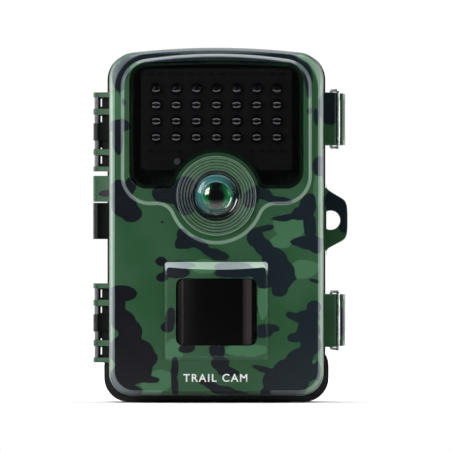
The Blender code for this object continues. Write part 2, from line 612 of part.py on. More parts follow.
def latch(label, z, m):
    """A draw latch: the lever turns on a pin in the rear case, and its wire bail hooks on the front case."""
    x0, x1, y0, y1 = LEVER_PLATE
    grip = [(x0, y0), (x1 - 0.5, y0), (x1, y0 + 0.8), (x1, y1 - 6), (x1 + 0.8, y1 - 1), (x1 + 0.3, y1)]
    grip += [(x0 - 0.6, y1), (x0, y1 - 6)]
    lever = upright(f"latch_lever_{label}", grip, z - LEVER_HALF, z + LEVER_HALF, m["camo"])
    cheek = [(LEVER_X - 1.2, LEVER_Y - 1.0), (LEVER_X, LEVER_Y - 1.6), (x0 + 0.7, y0 + 0.2), (x0 + 0.7, BAIL_Y + 3.5)]
    cheek += [(BAIL_X + 0.4, BAIL_Y + 1.5), (BAIL_X - 1.1, BAIL_Y + 0.9), (BAIL_X - 1.4, BAIL_Y - 0.6)]
    for side in (-1, 1):
        low, high = sorted((z + side * LEVER_CHEEK, z + side * LEVER_HALF))
        add(lever, upright(f"cheek_{label}_{side}", cheek, low, high))
    cut(
        lever,
        rod(f"lever_bore_{label}", (LEVER_X, LEVER_Y, z - 9.4), (LEVER_X, LEVER_Y, z + 9.4), 1.0),
        rod(f"bail_bore_{label}", (BAIL_X, BAIL_Y, z - 14), (BAIL_X, BAIL_Y, z + 14), WIRE_R + 0.25),
    )
    rod(f"latch_pin_{label}", (LEVER_X, LEVER_Y, z - 9.2), (LEVER_X, LEVER_Y, z + 9.2), 0.8, m["steel"], 14)
    points = []
    for side in (1, -1):
        leg = [
            (BAIL_X, BAIL_Y, z + side * 8.2),
            (BAIL_X, BAIL_Y, z + side * (BAIL_HALF - 0.9)),
            (BAIL_X + 0.05, BAIL_Y - 0.5, z + side * (BAIL_HALF - 0.2)),
            (BAIL_X + 0.2, BAIL_Y - 1.6, z + side * BAIL_HALF),
            (BAR_X, BAR_Y + 1.4, z + side * BAIL_HALF),
            (BAR_X, BAR_Y + 0.4, z + side * (BAIL_HALF - 0.4)),
            (BAR_X, BAR_Y, z + side * (BAIL_HALF - 1.4)),
        ]
        points += leg if side == 1 else leg[::-1]
    wire(f"latch_bail_{label}", points, WIRE_R, m["steel"])


def battery_parts(m):
    tray = box("battery_tray", -32.6, 32.6, 6.6, 25.0, BAYS[0][0] - 2, BAYS[1][1] + 2, m["black"])
    for n, (low, high) in enumerate(BAYS, 1):
        cut(tray, box(f"bay_{n}", -31.2, 31.2, 2.0, 22.6, low, high))
        for column in (-1, 0, 1):
            x = column * CELL_PITCH
            add(tray, box(f"rib_{n}_{column}", x - 0.4, x + 0.4, 19.0, 23.0, low + 8, high - 8))
    for end, (bay, side) in enumerate(((0, 0), (0, 1), (1, 0), (1, 1)), 1):
        wall_z = BAYS[bay][side]
        inward = 1 if side == 0 else -1
        low, high = sorted((wall_z + inward * GAP, wall_z + inward * (GAP + 0.8)))
        strip = box(f"battery_contacts_{end}", -30.8, 30.8, 8.0, 21.0, low, high, m["steel"])
        for column in range(4):
            x = (column - 1.5) * CELL_PITCH
            sprung = (column + bay) % 2 == side
            shape = [(0, 0), (4.6, 0), (2.6, 4.1), (0, 4.1)] if sprung else [(0, 0), (3.6, 0), (3.0, 0.5), (0, 0.5)]
            place = (x, CELL_Y, wall_z + inward * (GAP + 0.6))
            add(strip, turned(f"contact_{end}_{column}", shape, place, (0, 0, inward), sides=10))
    for n in range(8):
        bay, column = divmod(n, 4)
        up = (column + bay) % 2 == 0
        low, high = BAYS[bay]
        can = [(0, 0), (CELL_R - 0.5, 0), (CELL_R, 0.5), (CELL_R, CELL_LENGTH - 0.5), (CELL_R - 0.5, CELL_LENGTH)]
        can += [(2.7, CELL_LENGTH), (2.7, CELL_LENGTH + 1.0), (0, CELL_LENGTH + 1.0)]
        spring_end = GAP + 0.6 + 4.1 + GAP
        foot = (low + spring_end) if up else (high - spring_end)
        x = (column - 1.5) * CELL_PITCH
        turned(f"battery_cell_{n + 1}", can, (x, CELL_Y, foot), (0, 0, 1 if up else -1), m["cell"], 16)


def leads(m):
    """The battery lead crosses between the halves along the hinge's own axis, so it only twists."""
    front = [
        (HINGE_X, HINGE_Y, CONDUIT_FRONT_Z[0] + 0.2),
        (HINGE_X, HINGE_Y, 84.6),
        (HINGE_X + 0.25, HINGE_Y - 0.17, 85.5),
        (HINGE_X + 1.0, HINGE_Y - 0.67, 86.0),
        (-38.6, -5.6, 86.0),
        (-37.4, -6.6, 86.0),
        (-36.4, -7.4, 86.0),
    ]
    rear = [
        (HINGE_X, HINGE_Y, CONDUIT_REAR_Z[1] - 0.2),
        (HINGE_X, HINGE_Y, 71.4),
        (HINGE_X + 0.25, HINGE_Y + 0.12, 70.5),
        (HINGE_X + 1.0, HINGE_Y + 0.55, 70.0),
        (-37.0, 5.5, 70.0),
        (-35.2, 6.9, 70.0),
        (-33.4, 9.4, 70.0),
    ]
    wire("battery_lead_front", front, LEAD_R, m["lead"])
    wire("battery_lead_rear", rear, LEAD_R, m["lead"])


def main():
    for old in list(bpy.data.objects):
        bpy.data.objects.remove(old)
    m = all_materials()
    front_case(m["camo"])
    slab("ir_window", window_outline(0.15), -30.3, -28.9, m["window"])
    lamp_board(m["lamp"])
    lens_parts(m)
    sensor_parts(m)
    inner_parts(m)
    rear_frame(m["black"])
    rear_case(m["camo"])
    seal(m["rubber"])
    battery_parts(m)
    leads(m)
    for label, z in zip(("upper", "lower"), LATCH_ZS):
        latch(label, z, m)
    for label, z in zip(("upper", "lower"), HINGE_ZS):
        rod(f"hinge_pin_{label}", (HINGE_X, HINGE_Y, z - 15.6), (HINGE_X, HINGE_Y, z + 15.6), PIN_R, m["steel"], 14)
    nut = [(TRIPOD_R, 0), (4.0, 0), (4.0, 7.0), (TRIPOD_R, 7.0)]
    ring("tripod_nut", nut, (0, TRIPOD_Y, 2.8), (0, 0, 1), m["brass"], 24)


main()
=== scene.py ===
import math

import bmesh
import bpy
from mathutils import Matrix, Vector


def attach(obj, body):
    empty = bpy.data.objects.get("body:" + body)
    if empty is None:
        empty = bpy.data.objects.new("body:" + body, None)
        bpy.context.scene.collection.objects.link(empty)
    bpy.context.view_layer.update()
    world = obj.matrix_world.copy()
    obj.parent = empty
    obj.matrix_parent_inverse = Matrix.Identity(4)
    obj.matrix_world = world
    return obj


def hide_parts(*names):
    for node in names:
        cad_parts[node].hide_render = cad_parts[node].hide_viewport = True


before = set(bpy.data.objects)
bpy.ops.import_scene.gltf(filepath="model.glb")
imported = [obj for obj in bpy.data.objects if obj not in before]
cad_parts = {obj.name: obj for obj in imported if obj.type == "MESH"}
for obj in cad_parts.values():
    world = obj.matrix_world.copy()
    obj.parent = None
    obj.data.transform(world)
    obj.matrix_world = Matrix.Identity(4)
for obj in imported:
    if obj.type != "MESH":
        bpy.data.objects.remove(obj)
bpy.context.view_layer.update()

# Sizes are in millimetres here, and become metres when a mesh is finished.
MM = 0.001

# ---- the case ----
FRONT_W, REAR_W, TOP_Z = 42.3, 43.2, 140.0
ARCH_R, TOP_R, BOTTOM_R = 297.0, 10.5, 9.0
FACE_Y, PLATE_Y, FRAME_Y = -29.8, -31.3, -33.1
LENS_Z, BEZEL_R = 81.5, 15.75
HINGE_X, HINGE_ZS = -47.0, (106.9, 31.2)
EAR_SPANS = ((13.7, 15.7), (6.8, 9.2), (-9.2, -6.8), (-15.7, -13.7))
LATCH_ZS = (112.0, 32.2)
LOCK_X, LOCK_Z, LOCK_R = 45.3, 71.9, 3.8
LAMP_PITCH, LAMP_COLUMNS, LAMP_ROWS, LAMP_Z0 = (7.95, 6.4), 7, 4, 104.6
LEVER_X, LEVER_Y, BAIL_X, BAIL_Y = 47.0, 9.0, 45.6, 15.0
SOCKET_Y = 17.0
REAR_BOTTOM, REAR_TOP = 1.0, TOP_Z - 0.1
# cutters for the front face run from well ahead of it to well behind it
AHEAD, BEHIND = -36.0, -20.0


# ================= shader tools =================
def linear(red, green, blue):
    """A colour as a paint chart gives it, 0 to 255, made linear."""
    made = [c / 255 / 12.92 if c <= 10 else ((c / 255 + 0.055) / 1.055) ** 2.4 for c in (red, green, blue)]
    return (*made, 1.0)


class Value:
    """A number on a shader socket. Arithmetic on it adds Math nodes."""

    def __init__(self, finish, socket):
        self.finish, self.socket = finish, socket

    def math(self, operation, *others):
        return self.finish.math(operation, self, *others)

    def __add__(self, other):
        return self.math("ADD", other)

    def __sub__(self, other):
        return self.math("SUBTRACT", other)

    def __mul__(self, other):
        return self.math("MULTIPLY", other)

    def __truediv__(self, other):
        return self.math("DIVIDE", other)

    def __rsub__(self, other):
        return self.finish.math("SUBTRACT", other, self)

    __radd__, __rmul__ = __add__, __mul__

    def ramp(self, low, high):
        """0 under low, 1 over high, and a straight climb between. With low over high it falls."""
        node = self.finish.node("ShaderNodeMapRange", {"clamp": True}, {0: self, 1: low, 2: high, 3: 0.0, 4: 1.0})
        return Value(self.finish, node.outputs[0])


class Finish:
    """A material made from nodes round one Principled shader."""

    def __init__(self, name, **fixed):
        self.material = bpy.data.materials.new(name)
        self.material.use_nodes = True
        self.tree = self.material.node_tree
        self.shader = self.tree.nodes["Principled BSDF"]
        for socket, value in fixed.items():
            self.shader.inputs[socket.replace("_", " ")].default_value = value
        self.place = self.vector("SCALE", self.node("ShaderNodeTexCoord").outputs["Object"], 1 / MM)

    def node(self, kind, settings=None, sockets=None):
        node = self.tree.nodes.new(kind)
        for name, value in (settings or {}).items():
            setattr(node, name, value)
        for key, value in (sockets or {}).items():
            if isinstance(value, Value):
                value = value.socket
            if isinstance(value, bpy.types.NodeSocket):
                self.tree.links.new(value, node.inputs[key])
            else:
                node.inputs[key].default_value = value
        return node

    def math(self, operation, *values):
        return Value(self, self.node("ShaderNodeMath", {"operation": operation}, dict(enumerate(values))).outputs[0])

    def vector(self, operation, first, second, output=0):
        """Vector Math on two vectors, or on one vector and nothing or a scale."""
        key = "Scale" if operation == "SCALE" else 1
        sockets = {0: first} if second is None else {0: first, key: second}
        return self.node("ShaderNodeVectorMath", {"operation": operation}, sockets).outputs[output]

    def axes(self, vector=None):
        split = self.node("ShaderNodeSeparateXYZ", None, {0: vector or self.place})
        return [Value(self, split.outputs[i]) for i in range(3)]

    def noise(self, size, detail=2.0, roughness=0.5, vector=None, seed=0.0):
        """Soft noise whose lumps are about size across."""
        where = self.vector("ADD", vector or self.place, (seed * 37.0, seed * 11.0, seed * 53.0))
        sockets = {"Vector": where, "Scale": 1.0 / size, "Detail": detail, "Roughness": roughness}
        return Value(self, self.node("ShaderNodeTexNoise", None, sockets).outputs["Fac"])

    def warped(self, size, amount, seed=1.0):
        """The place, pushed about by noise, so that edges drawn with it wander."""
        where = self.vector("ADD", self.place, (seed * 19.0,) * 3)
        push = self.node("ShaderNodeTexNoise", None, {"Vector": where, "Scale": 1.0 / size, "Detail": 1.0})
        centred = self.vector("ADD", push.outputs["Color"], (-0.5, -0.5, -0.5))
        return self.vector("ADD", self.place, self.vector("SCALE", centred, amount))

    def mix(self, factor, first, second):
        """A colour between two colours."""
        return self.node("ShaderNodeMix", {"data_type": "RGBA"}, {0: factor, 6: first, 7: second}).outputs[2]

    def set(self, **links):
        for name, value in links.items():
            value = value.socket if isinstance(value, Value) else value
            self.tree.links.new(value, self.shader.inputs[name.replace("_", " ")])
        return self

    def bump(self, height, depth, strength):
        """Relief: height from 0 to 1 is worth depth millimetres."""
        sockets = {"Height": height, "Distance": depth * MM, "Strength": strength}
        return self.node("ShaderNodeBump", None, sockets).outputs[0]


class Air(Finish):
    """The studio round the object: a white wall behind, dim in front, and white again below the floor."""

    def __init__(self, world):
        world.use_nodes = True
        self.tree = world.node_tree
        self.place = self.node("ShaderNodeTexCoord").outputs["Generated"]
        _, ahead, up = self.axes()
        wall = ahead.ramp(0.0, 0.3) * up.math("ABSOLUTE").ramp(0.75, 0.6)
        bright = wall.math("MAXIMUM", up.ramp(-0.12, -0.34))
        glow = self.mix(bright, (0.05, 0.052, 0.055, 1), (1.02, 1.02, 1.02, 1))
        self.tree.links.new(glow, self.tree.nodes["Background"].inputs[0])


def edge_wear(finish, radius):
    """1 along sharp outer edges, from the difference between the true normal and one rounded over radius."""
    rounded = finish.node("ShaderNodeBevel", {"samples": 4}, {"Radius": radius * MM}).outputs[0]
    flat = finish.node("ShaderNodeNewGeometry").outputs["Normal"]
    return Value(finish, finish.vector("DOT_PRODUCT", rounded, flat, "Value")).ramp(0.995, 0.90)


# Camouflage blots, listed one by one: each blot is (x, z, half width, half height, turn in degrees), seen from the
# front.
BLOTS = [
    # under the window's lower left corner, and the left edge
    (-36.3, 77.5, 5.2, 4.6, 0), (-33.5, 74.6, 4.2, 3.6, 0), (-38.6, 82.0, 3.4, 6.0, 0), (-34.0, 85.2, 2.5, 3.6, -20),
    (-38.2, 109.2, 4.6, 2.6, 0), (-38.9, 103.5, 2.2, 5.8, 0), (-38.8, 128.0, 2.4, 5.6, 12),
    (-33.6, 135.4, 6.4, 2.0, 36), (-20.0, 138.6, 12.0, 2.1, 6), (0.0, 138.9, 14.0, 2.3, 0),
    (20.0, 138.4, 13.0, 1.9, -6), (-36.6, 118.6, 0.8, 1.4, 0),
    # left of the lens, and the wedge right of it
    (-21.0, 82.2, 4.4, 3.4, 0), (-16.5, 81.6, 5.5, 3.2, 0), (-12.5, 84.0, 4.6, 5.2, 0), (-12.0, 78.4, 4.4, 4.6, 0),
    (18.5, 82.6, 4.0, 2.4, -25), (24.5, 79.9, 5.6, 1.7, -8), (13.4, 80.2, 3.2, 3.4, 0), (15.8, 83.2, 3.0, 2.4, 0),
    # upper right
    (36.2, 77.6, 3.4, 4.9, -8), (33.2, 74.6, 3.4, 2.8, 20), (27.4, 72.9, 5.6, 1.3, 8), (36.9, 69.6, 2.7, 5.6, 6),
    (36.0, 62.9, 5.4, 2.7, -12), (39.6, 62.0, 3.0, 3.4, 0), (31.6, 63.3, 2.4, 1.2, 0),
    (36.4, 125.6, 1.5, 5.6, 4), (36.6, 114.8, 1.1, 1.3, 0), (40.4, 93.0, 2.4, 3.9, 0), (39.4, 112.6, 1.1, 3.2, 8),
    # between the lens and the motion window
    (-12.0, 63.0, 4.6, 2.7, 8), (-13.6, 66.0, 2.4, 2.6, 0), (-7.0, 62.6, 4.4, 2.3, -22), (-1.0, 58.8, 4.6, 1.9, -16),
    (1.6, 57.6, 3.8, 1.7, 0), (18.4, 68.4, 4.4, 1.3, 12), (15.2, 65.0, 3.2, 3.4, -30), (18.6, 61.4, 4.4, 3.4, -40),
    (23.0, 56.4, 4.8, 4.8, -25), (25.8, 50.4, 5.2, 6.2, -10), (25.0, 44.6, 3.2, 3.2, 0), (29.4, 48.9, 2.2, 1.0, -8),
    (38.8, 47.9, 2.2, 0.8, -22), (20.2, 47.4, 4.4, 2.2, 20),
    # left of the motion window, and its frame
    (-21.8, 55.7, 2.1, 1.8, 0), (-14.0, 54.6, 6.0, 1.2, -4), (-21.4, 49.4, 2.7, 1.9, 0), (-19.4, 52.6, 1.4, 2.6, 0),
    (-15.6, 51.6, 5.2, 2.7, -4), (8.6, 51.2, 9.6, 2.0, 2), (6.4, 53.4, 7.2, 2.2, 0), (17.6, 49.6, 3.4, 3.4, 0),
    (-18.2, 33.0, 2.2, 4.6, -8), (-19.4, 29.6, 2.6, 2.0, 0), (18.9, 28.2, 3.6, 2.8, 12), (22.4, 29.3, 2.6, 1.3, -10),
    (15.6, 37.0, 1.0, 1.9, 0),
    # lower left
    (-36.8, 43.2, 5.4, 3.0, -6), (-38.9, 38.0, 3.2, 5.0, 0), (-37.0, 32.4, 5.2, 4.4, -30), (-33.8, 27.6, 4.8, 4.8, -30),
    (-35.0, 20.4, 7.4, 6.6, 0), (-28.6, 20.8, 4.4, 3.6, -35), (-26.6, 17.2, 3.4, 3.4, 0), (-33.0, 12.4, 7.6, 5.0, 0),
    (-26.4, 9.0, 4.0, 1.5, -6), (-37.6, 8.0, 5.2, 5.2, 0), (-33.0, 4.2, 3.6, 2.6, 0),
    # bottom middle
    (-11.6, 21.6, 3.4, 2.0, 6), (-16.4, 13.6, 1.6, 4.6, -4), (-16.4, 6.4, 1.5, 4.2, 6), (0.2, 20.4, 3.0, 3.4, 0),
    (1.4, 15.4, 3.6, 2.6, 0), (4.8, 12.0, 4.4, 1.9, -8), (-3.4, 7.6, 4.0, 1.7, -18), (2.8, 4.8, 5.2, 1.8, -6),
    (8.6, 3.4, 4.0, 1.3, 0),
    # lower right
    (38.6, 37.6, 3.0, 2.6, 0), (35.6, 33.6, 5.6, 2.8, 0), (29.6, 34.2, 2.2, 1.5, -12), (36.4, 28.4, 4.6, 4.4, 0),
    (31.4, 25.6, 3.4, 2.0, 12), (37.2, 22.8, 4.2, 4.0, 0), (33.0, 17.4, 5.6, 4.4, 20), (27.4, 12.6, 5.4, 4.4, 30),
    (19.0, 12.9, 5.0, 1.2, -14), (23.0, 8.6, 5.0, 4.4, 0), (30.0, 7.6, 6.6, 5.2, 0), (36.0, 12.2, 3.6, 4.0, 20),
    (22.0, 4.0, 4.6, 2.4, 0), (39.9, 12.6, 1.4, 4.0, 0),
    # ears, catches and the padlock lug
    (-44.0, 82.4, 3.0, 1.4, 0), (45.2, 117.0, 5.0, 7.4, 0), (49.0, 79.0, 6.0, 6.4, 0), (50.6, 71.0, 2.2, 4.4, 0),
    # between the raised plate's edge and the lamp window
    (-14.0, 135.4, 20.0, 1.5, 1), (13.0, 135.5, 15.0, 1.4, -2), (-35.9, 131.4, 1.7, 5.0, -6),
    (31.0, 134.4, 5.0, 1.6, -24), (35.8, 129.4, 1.7, 4.6, 8),
]  # fmt: skip
# paler green patches of the same film
PALE_BLOTS = [
    (28.6, 69.6, 6.4, 4.8, -10), (25.6, 63.6, 4.4, 2.6, 0), (34.0, 52.4, 6.6, 3.6, 10), (-16.6, 20.6, 3.6, 4.6, 0),
    (11.6, 20.6, 8.6, 2.6, 0), (18.4, 40.6, 2.2, 8.0, 0), (-4.6, 53.6, 5.2, 2.8, 0), (37.4, 12.6, 5.4, 3.0, 40),
    (-23.4, 8.4, 7.0, 4.4, 10), (-39.8, 116.6, 2.6, 6.0, 0), (40.2, 84.6, 2.0, 7.0, 0),
]  # fmt: skip


BLOT_GROUP = 16
BLOT_EDGE = 0.13


def blot_field(finish, wander, blots, after=0.0):
    """Signed distance from the nearest blot, with neighbours run together."""
    wide, _, high = finish.axes(wander)
    field = None
    for i, (bx, bz, rx, rz, turn) in enumerate(blots):
        if i % BLOT_GROUP == 0:
            # depth doesn't count here; passing the field there makes each group wait for the one before
            wander = finish.node("ShaderNodeCombineXYZ", None, {0: wide, 1: field or after, 2: high}).outputs[0]
        placed = finish.node(
            "ShaderNodeMapping",
            {"vector_type": "TEXTURE"},
            {0: wander, 1: (bx, 0, bz), 2: (0, -math.radians(turn), 0), 3: (rx, 1e5, rz)},
        )
        length = Value(finish, finish.vector("LENGTH", placed.outputs[0], None, "Value"))
        thin = min(rx, rz)
        reach = length.math("MULTIPLY_ADD", thin, -thin)
        field = reach if field is None else field.math("SMOOTH_MIN", reach, 1.3)
    return field


def painted_edge_highlight(finish, shaded, dark):
    """Painted highlight: the front's colour is made pale where its edges slope away and at the upper corners, standing
    in for the light they catch.
    """
    x, y, z = finish.axes()
    side = x.math("ABSOLUTE")
    facing = finish.axes(finish.node("ShaderNodeNewGeometry").outputs["True Normal"])[1]
    over = side.math("MAXIMUM", 27.0) - 27.0
    rise = z.math("MAXIMUM", 124.0) - 124.0
    corner = (over * over + rise * rise).math("SQRT").ramp(13.3, 14.3) * z.ramp(123.0, 127.0)
    # less painted highlight round the motion window and along the bottom edge
    less = side.ramp(22.0, 21.0) * z.ramp(50.8, 50.2) * 0.68 + side.ramp(36.0, 30.0) * z.ramp(7.0, 5.0) * 0.3
    slopes = facing.ramp(-0.985, -0.90) * 0.56 * (1.0 - less)
    highlit = slopes.math("MAXIMUM", corner * 0.5) * y.ramp(-26.5, -28.0)
    # the painted highlight is brightest on the ledge above the motion window
    ledge = side.ramp(21.0, 20.6) * z.ramp(51.6, 52.6) * z.ramp(56.0, 55.4)
    highlight_green = finish.mix(ledge, linear(134, 160, 142), linear(206, 234, 212))
    highlight_slate = finish.mix(ledge, linear(112, 124, 130), linear(184, 198, 202))
    amount = (highlit * (1.0 + 0.7 * ledge)).math("MINIMUM", 1.0)
    return finish.mix(amount, shaded, finish.mix(dark, highlight_green, highlight_slate))


def camouflage(name, front=True):
    """Moulded plastic with a printed film: grey-green, with blots of slate and near-black."""
    finish = Finish(name, IOR=1.5, Specular_IOR_Level=0.3)
    x, y, z = finish.axes()
    # round the sides and the back the blots come from noise in space
    drift = finish.noise(15.0, 0.6, 0.4, finish.warped(8.0, 4.0, 5.0), 3.0)
    field = around = (0.535 - drift) * 40.0
    tone = finish.noise(22.0, 1.0, 0.5, None, 7.0).ramp(0.42, 0.58)
    green = finish.mix(tone, linear(34, 74, 44), linear(44, 80, 54))
    if front:
        wander = finish.warped(5.5, 1.5)
        laid = blot_field(finish, wander, BLOTS)
        pale = blot_field(finish, wander, PALE_BLOTS, laid).ramp(BLOT_EDGE, -BLOT_EDGE)
        green = finish.mix(pale, green, linear(62, 104, 74))
        side = y.ramp(-27.5, -24.5) * (1.0 - x.math("ABSOLUTE").ramp(42.45, 42.55))
        field = laid + side * (around - laid)
    dark = field.ramp(BLOT_EDGE, -BLOT_EDGE)
    slate = finish.mix((x + z * 0.55).ramp(-6.0, 46.0), linear(5, 5, 14), linear(14, 28, 34))
    grain = finish.noise(0.55, 3.0, 0.6)
    speckle = finish.mix(dark, linear(84, 128, 92), linear(40, 46, 56))
    shaded = finish.mix(grain.ramp(0.25, 0.75) * 0.08, finish.mix(dark, green, slate), speckle)
    # the front's sloping edges and upper corners get a painted highlight
    if front:
        shaded = painted_edge_highlight(finish, shaded, dark)
    worn = edge_wear(finish, 0.35) * finish.noise(1.8, 2.0, 0.5, None, 9.0).ramp(0.3, 0.8) * 0.30
    return finish.set(
        Base_Color=finish.mix(worn, shaded, linear(150, 172, 152)),
        Roughness=0.18 + 0.08 * grain + 0.06 * finish.noise(9.0, 2.0, 0.5, None, 4.0),
        Normal=finish.bump(grain, 0.02, 0.12),
    ).material


def moulded(name, colour, rough, relief=0.04, grain_size=0.5, *, light, **fixed):
    """Plain moulded plastic or rubber: a fine eroded grain, faint flow marks and paler edges."""
    finish = Finish(name, **fixed)
    grain = finish.noise(grain_size, 3.0, 0.6)
    flow = finish.noise(14.0, 2.0, 0.5, finish.warped(10.0, 6.0), 2.0)
    base = finish.mix(grain.ramp(0.3, 0.8) * 0.25, linear(*colour), linear(*light))
    base = finish.mix(edge_wear(finish, 0.3) * 0.35, base, linear(*light))
    return finish.set(
        Base_Color=base,
        Roughness=rough + 0.12 * (grain - 0.5) + 0.10 * (flow - 0.5),
        Normal=finish.bump(grain, relief, 0.4),
    ).material


def metal(name, colour, rough):
    """Drawn or turned metal: fine lines, small scratches and a little tarnish."""
    finish = Finish(name, Metallic=1.0)
    drawn = finish.vector("MULTIPLY", finish.place, (1.0, 1.0, 14.0))
    lines = finish.noise(0.9, 3.0, 0.6, drawn, 1.0)
    tarnish = finish.noise(6.0, 3.0, 0.6, None, 6.0)
    dull = tuple(c * 0.55 for c in colour)
    base = finish.mix(tarnish.ramp(0.45, 0.75) * 0.5, linear(*colour), linear(*dull))
    return finish.set(
        Base_Color=base,
        Roughness=rough + 0.18 * (lines - 0.4) + 0.1 * (tarnish - 0.5),
        Normal=finish.bump(lines, 0.01, 0.5),
    ).material


def lamp_filter(name):
    """The smoked filter over the lamps: deep black and polished, a little clear, with dust and fine wipe marks."""
    finish = Finish(name, IOR=1.49, Specular_IOR_Level=0.5)
    dust = finish.noise(0.5, 4.0, 0.7)
    wipe = finish.noise(9.0, 1.0, 0.5, finish.warped(14.0, 5.0), 3.0)
    base = finish.mix(dust.ramp(0.66, 0.9) * 0.2, linear(2, 2, 4), linear(24, 26, 30))
    rough = 0.06 + 0.04 * wipe.ramp(0.4, 0.8)
    return finish.set(Base_Color=base, Roughness=rough, Alpha=0.36 + 0.02 * wipe).material


def clear_glass(name, tint, alpha):
    """Thin clear glass with a faint smear."""
    finish = Finish(name, IOR=1.5, Specular_IOR_Level=0.9)
    smear = finish.noise(7.0, 1.0, 0.5, finish.warped(12.0, 4.0), 3.0)
    return finish.set(
        Base_Color=finish.mix(smear * 0.4, linear(*tint), linear(30, 38, 38)),
        Roughness=0.015 + 0.015 * smear.ramp(0.4, 0.8),
        Alpha=alpha + 0.02 * smear.ramp(0.4, 0.9),
    ).material


def lens_coating_and_glints(name):
    """The first lens element: a black pupil inside rings of green and teal coating colour, with painted reflections:
    brighter at the left and right, towards the upper left, and in a thin pale ring.
    """
    finish = Finish(name, IOR=1.6, Specular_IOR_Level=0.9)
    x, _, z = finish.axes()
    height = z - LENS_Z
    radius = (x * x + height * height).math("SQRT")
    flank_glint = x.math("ABSOLUTE") / (radius + 0.01)
    drift = finish.noise(5.0, 1.0, 0.5)
    # painted reflection: the green glow is strongest at the left and right flanks
    green = radius.ramp(2.6, 4.6) * radius.ramp(7.2, 5.4) * flank_glint.ramp(0.30, 0.95)
    # painted reflection: the teal ring is brightest towards the upper left
    upper_left_sheen = ((height - x) / (radius + 0.01)).ramp(-0.7, 1.1)
    teal_sheen = radius.ramp(4.8, 6.6) * radius.ramp(9.6, 7.4) * (0.06 + 0.94 * upper_left_sheen)
    # a thin pale ring of painted glint
    ring = radius.ramp(5.3, 5.5) * radius.ramp(5.9, 5.7)
    colour = finish.mix(green * (0.7 + 0.4 * drift), linear(1, 3, 3), linear(14, 134, 74))
    colour = finish.mix(teal_sheen * 0.9, colour, linear(74, 150, 156))
    colour = finish.mix(ring * 0.6, colour, linear(100, 200, 170))
    rough = 0.04 + 0.03 * drift
    return finish.set(Base_Color=colour, Roughness=rough).material


def fresnel_film(name):
    """The motion window: black polythene with rows of shallow concentric grooves."""
    finish = Finish(name, IOR=1.5, Specular_IOR_Level=0.3)
    x, _, z = finish.axes()
    grooves = None
    for cz in (42.0, 29.5):
        for cx in (-9.0, 0.0, 9.0):
            far = ((x - cx) * (x - cx) + (z - cz) * (z - cz)).math("SQRT")
            grooves = far if grooves is None else grooves.math("MINIMUM", far)
    wave = (grooves * 7.0).math("SINE") * 0.5 + 0.5
    dust = finish.noise(0.6, 4.0, 0.7)
    # painted reflections: pale grey upright bands near the film's left and right edges
    edge_reflection = x.ramp(10.0, 12.2) * x.ramp(14.1, 13.7) * 0.75 + x.ramp(-12.8, -13.3) * x.ramp(-14.0, -13.5) * 0.5
    base = finish.mix(edge_reflection, linear(2, 2, 3), linear(66, 60, 62))
    base = finish.mix(dust.ramp(0.5, 0.9) * 0.2, base, linear(26, 25, 27))
    return finish.set(Base_Color=base, Roughness=0.12 + 0.08 * dust, Normal=finish.bump(wave, 0.02, 0.05)).material


def memory_card(name):
    """Blue moulding with a paper label that has a ruled border."""
    finish = Finish(name)
    x, y, z = finish.axes()
    inside = (x - 14.0).math("ABSOLUTE").ramp(9.6, 9.5) * (z - 32.0).math("ABSOLUTE").ramp(5.1, 5.0)
    rule = (x - 14.0).math("ABSOLUTE").ramp(9.0, 8.9) * (z - 32.0).math("ABSOLUTE").ramp(4.5, 4.4)
    grain = finish.noise(0.5, 3.0, 0.6)
    blue = finish.mix(grain * 0.3, linear(18, 30, 70), linear(50, 62, 110))
    paper = finish.mix(grain * 0.3, linear(206, 208, 204), linear(232, 232, 228))
    colour = finish.mix(inside, blue, finish.mix(rule, linear(40, 44, 52), paper))
    return finish.set(Base_Color=colour, Roughness=0.4 + 0.2 * grain, Normal=finish.bump(grain, 0.03, 0.3)).material


def circuit_board(name):
    """Green lacquer over copper tracks."""
    finish = Finish(name, Coat_Roughness=0.2)
    x, _, z = finish.axes()
    sockets = {"Vector": finish.place, "Scale": 0.35}
    cells = finish.node("ShaderNodeTexVoronoi", {"feature": "F1", "distance": "MANHATTAN"}, sockets)
    far = Value(finish, cells.outputs["Distance"])
    tracks = (far * 9.0).math("SINE").ramp(0.1, 0.3)
    grain = finish.noise(0.6, 3.0, 0.6)
    base = finish.mix(tracks * 0.6, linear(10, 52, 30), linear(26, 86, 52))
    base = finish.mix(far.ramp(0.10, 0.06), base, linear(190, 160, 90))
    return finish.set(Base_Color=base, Roughness=0.3 + 0.2 * grain, Normal=finish.bump(tracks, 0.03, 0.4)).material


def cell_jacket(name, way):
    """A printed cell: black jacket with a copper-coloured band at the nose end, and bare metal ends."""
    finish = Finish(name, Coat_Roughness=0.1)
    height = (finish.axes()[2] - 13.0).math("MODULO", 59.0)
    grain = finish.noise(0.7, 3.0, 0.6)
    if way > 0:
        nose, bare = height.ramp(40.8, 41.0), height.ramp(5.95, 5.85).math("MAXIMUM", height.ramp(54.35, 54.45))
    else:
        nose, bare = height.ramp(17.2, 17.0), height.ramp(3.65, 3.55).math("MAXIMUM", height.ramp(52.05, 52.15))
    base = finish.mix(nose, linear(16, 17, 20), linear(176, 106, 52))
    base = finish.mix(bare, base, linear(190, 190, 192))
    base = finish.mix(grain * 0.2, base, linear(120, 120, 122))
    return finish.set(
        Base_Color=base,
        Metallic=nose.math("MAXIMUM", bare) * 0.8,
        Roughness=0.26 + 0.14 * grain,
        Normal=finish.bump(grain, 0.01, 0.3),
    ).material


# ================= outlines =================
def arc(cx, cz, radius, start, end, steps):
    angles = [math.radians(start + (end - start) * i / steps) for i in range(steps + 1)]
    return [(cx + radius * math.cos(a), cz + radius * math.sin(a)) for a in angles]


def sweep(cx, cz, rx, rz, start, stop, step):
    """Points round an ellipse, from one angle to just before another."""
    angles = [math.radians(t) for t in range(start, stop, step)]
    return [(cx + rx * math.cos(a), cz + rz * math.sin(a)) for a in angles]


def mirrored(half):
    left = [(-x, z) for x, z in reversed(half)]
    return half + [p for p in left if abs(p[0]) > 1e-6]


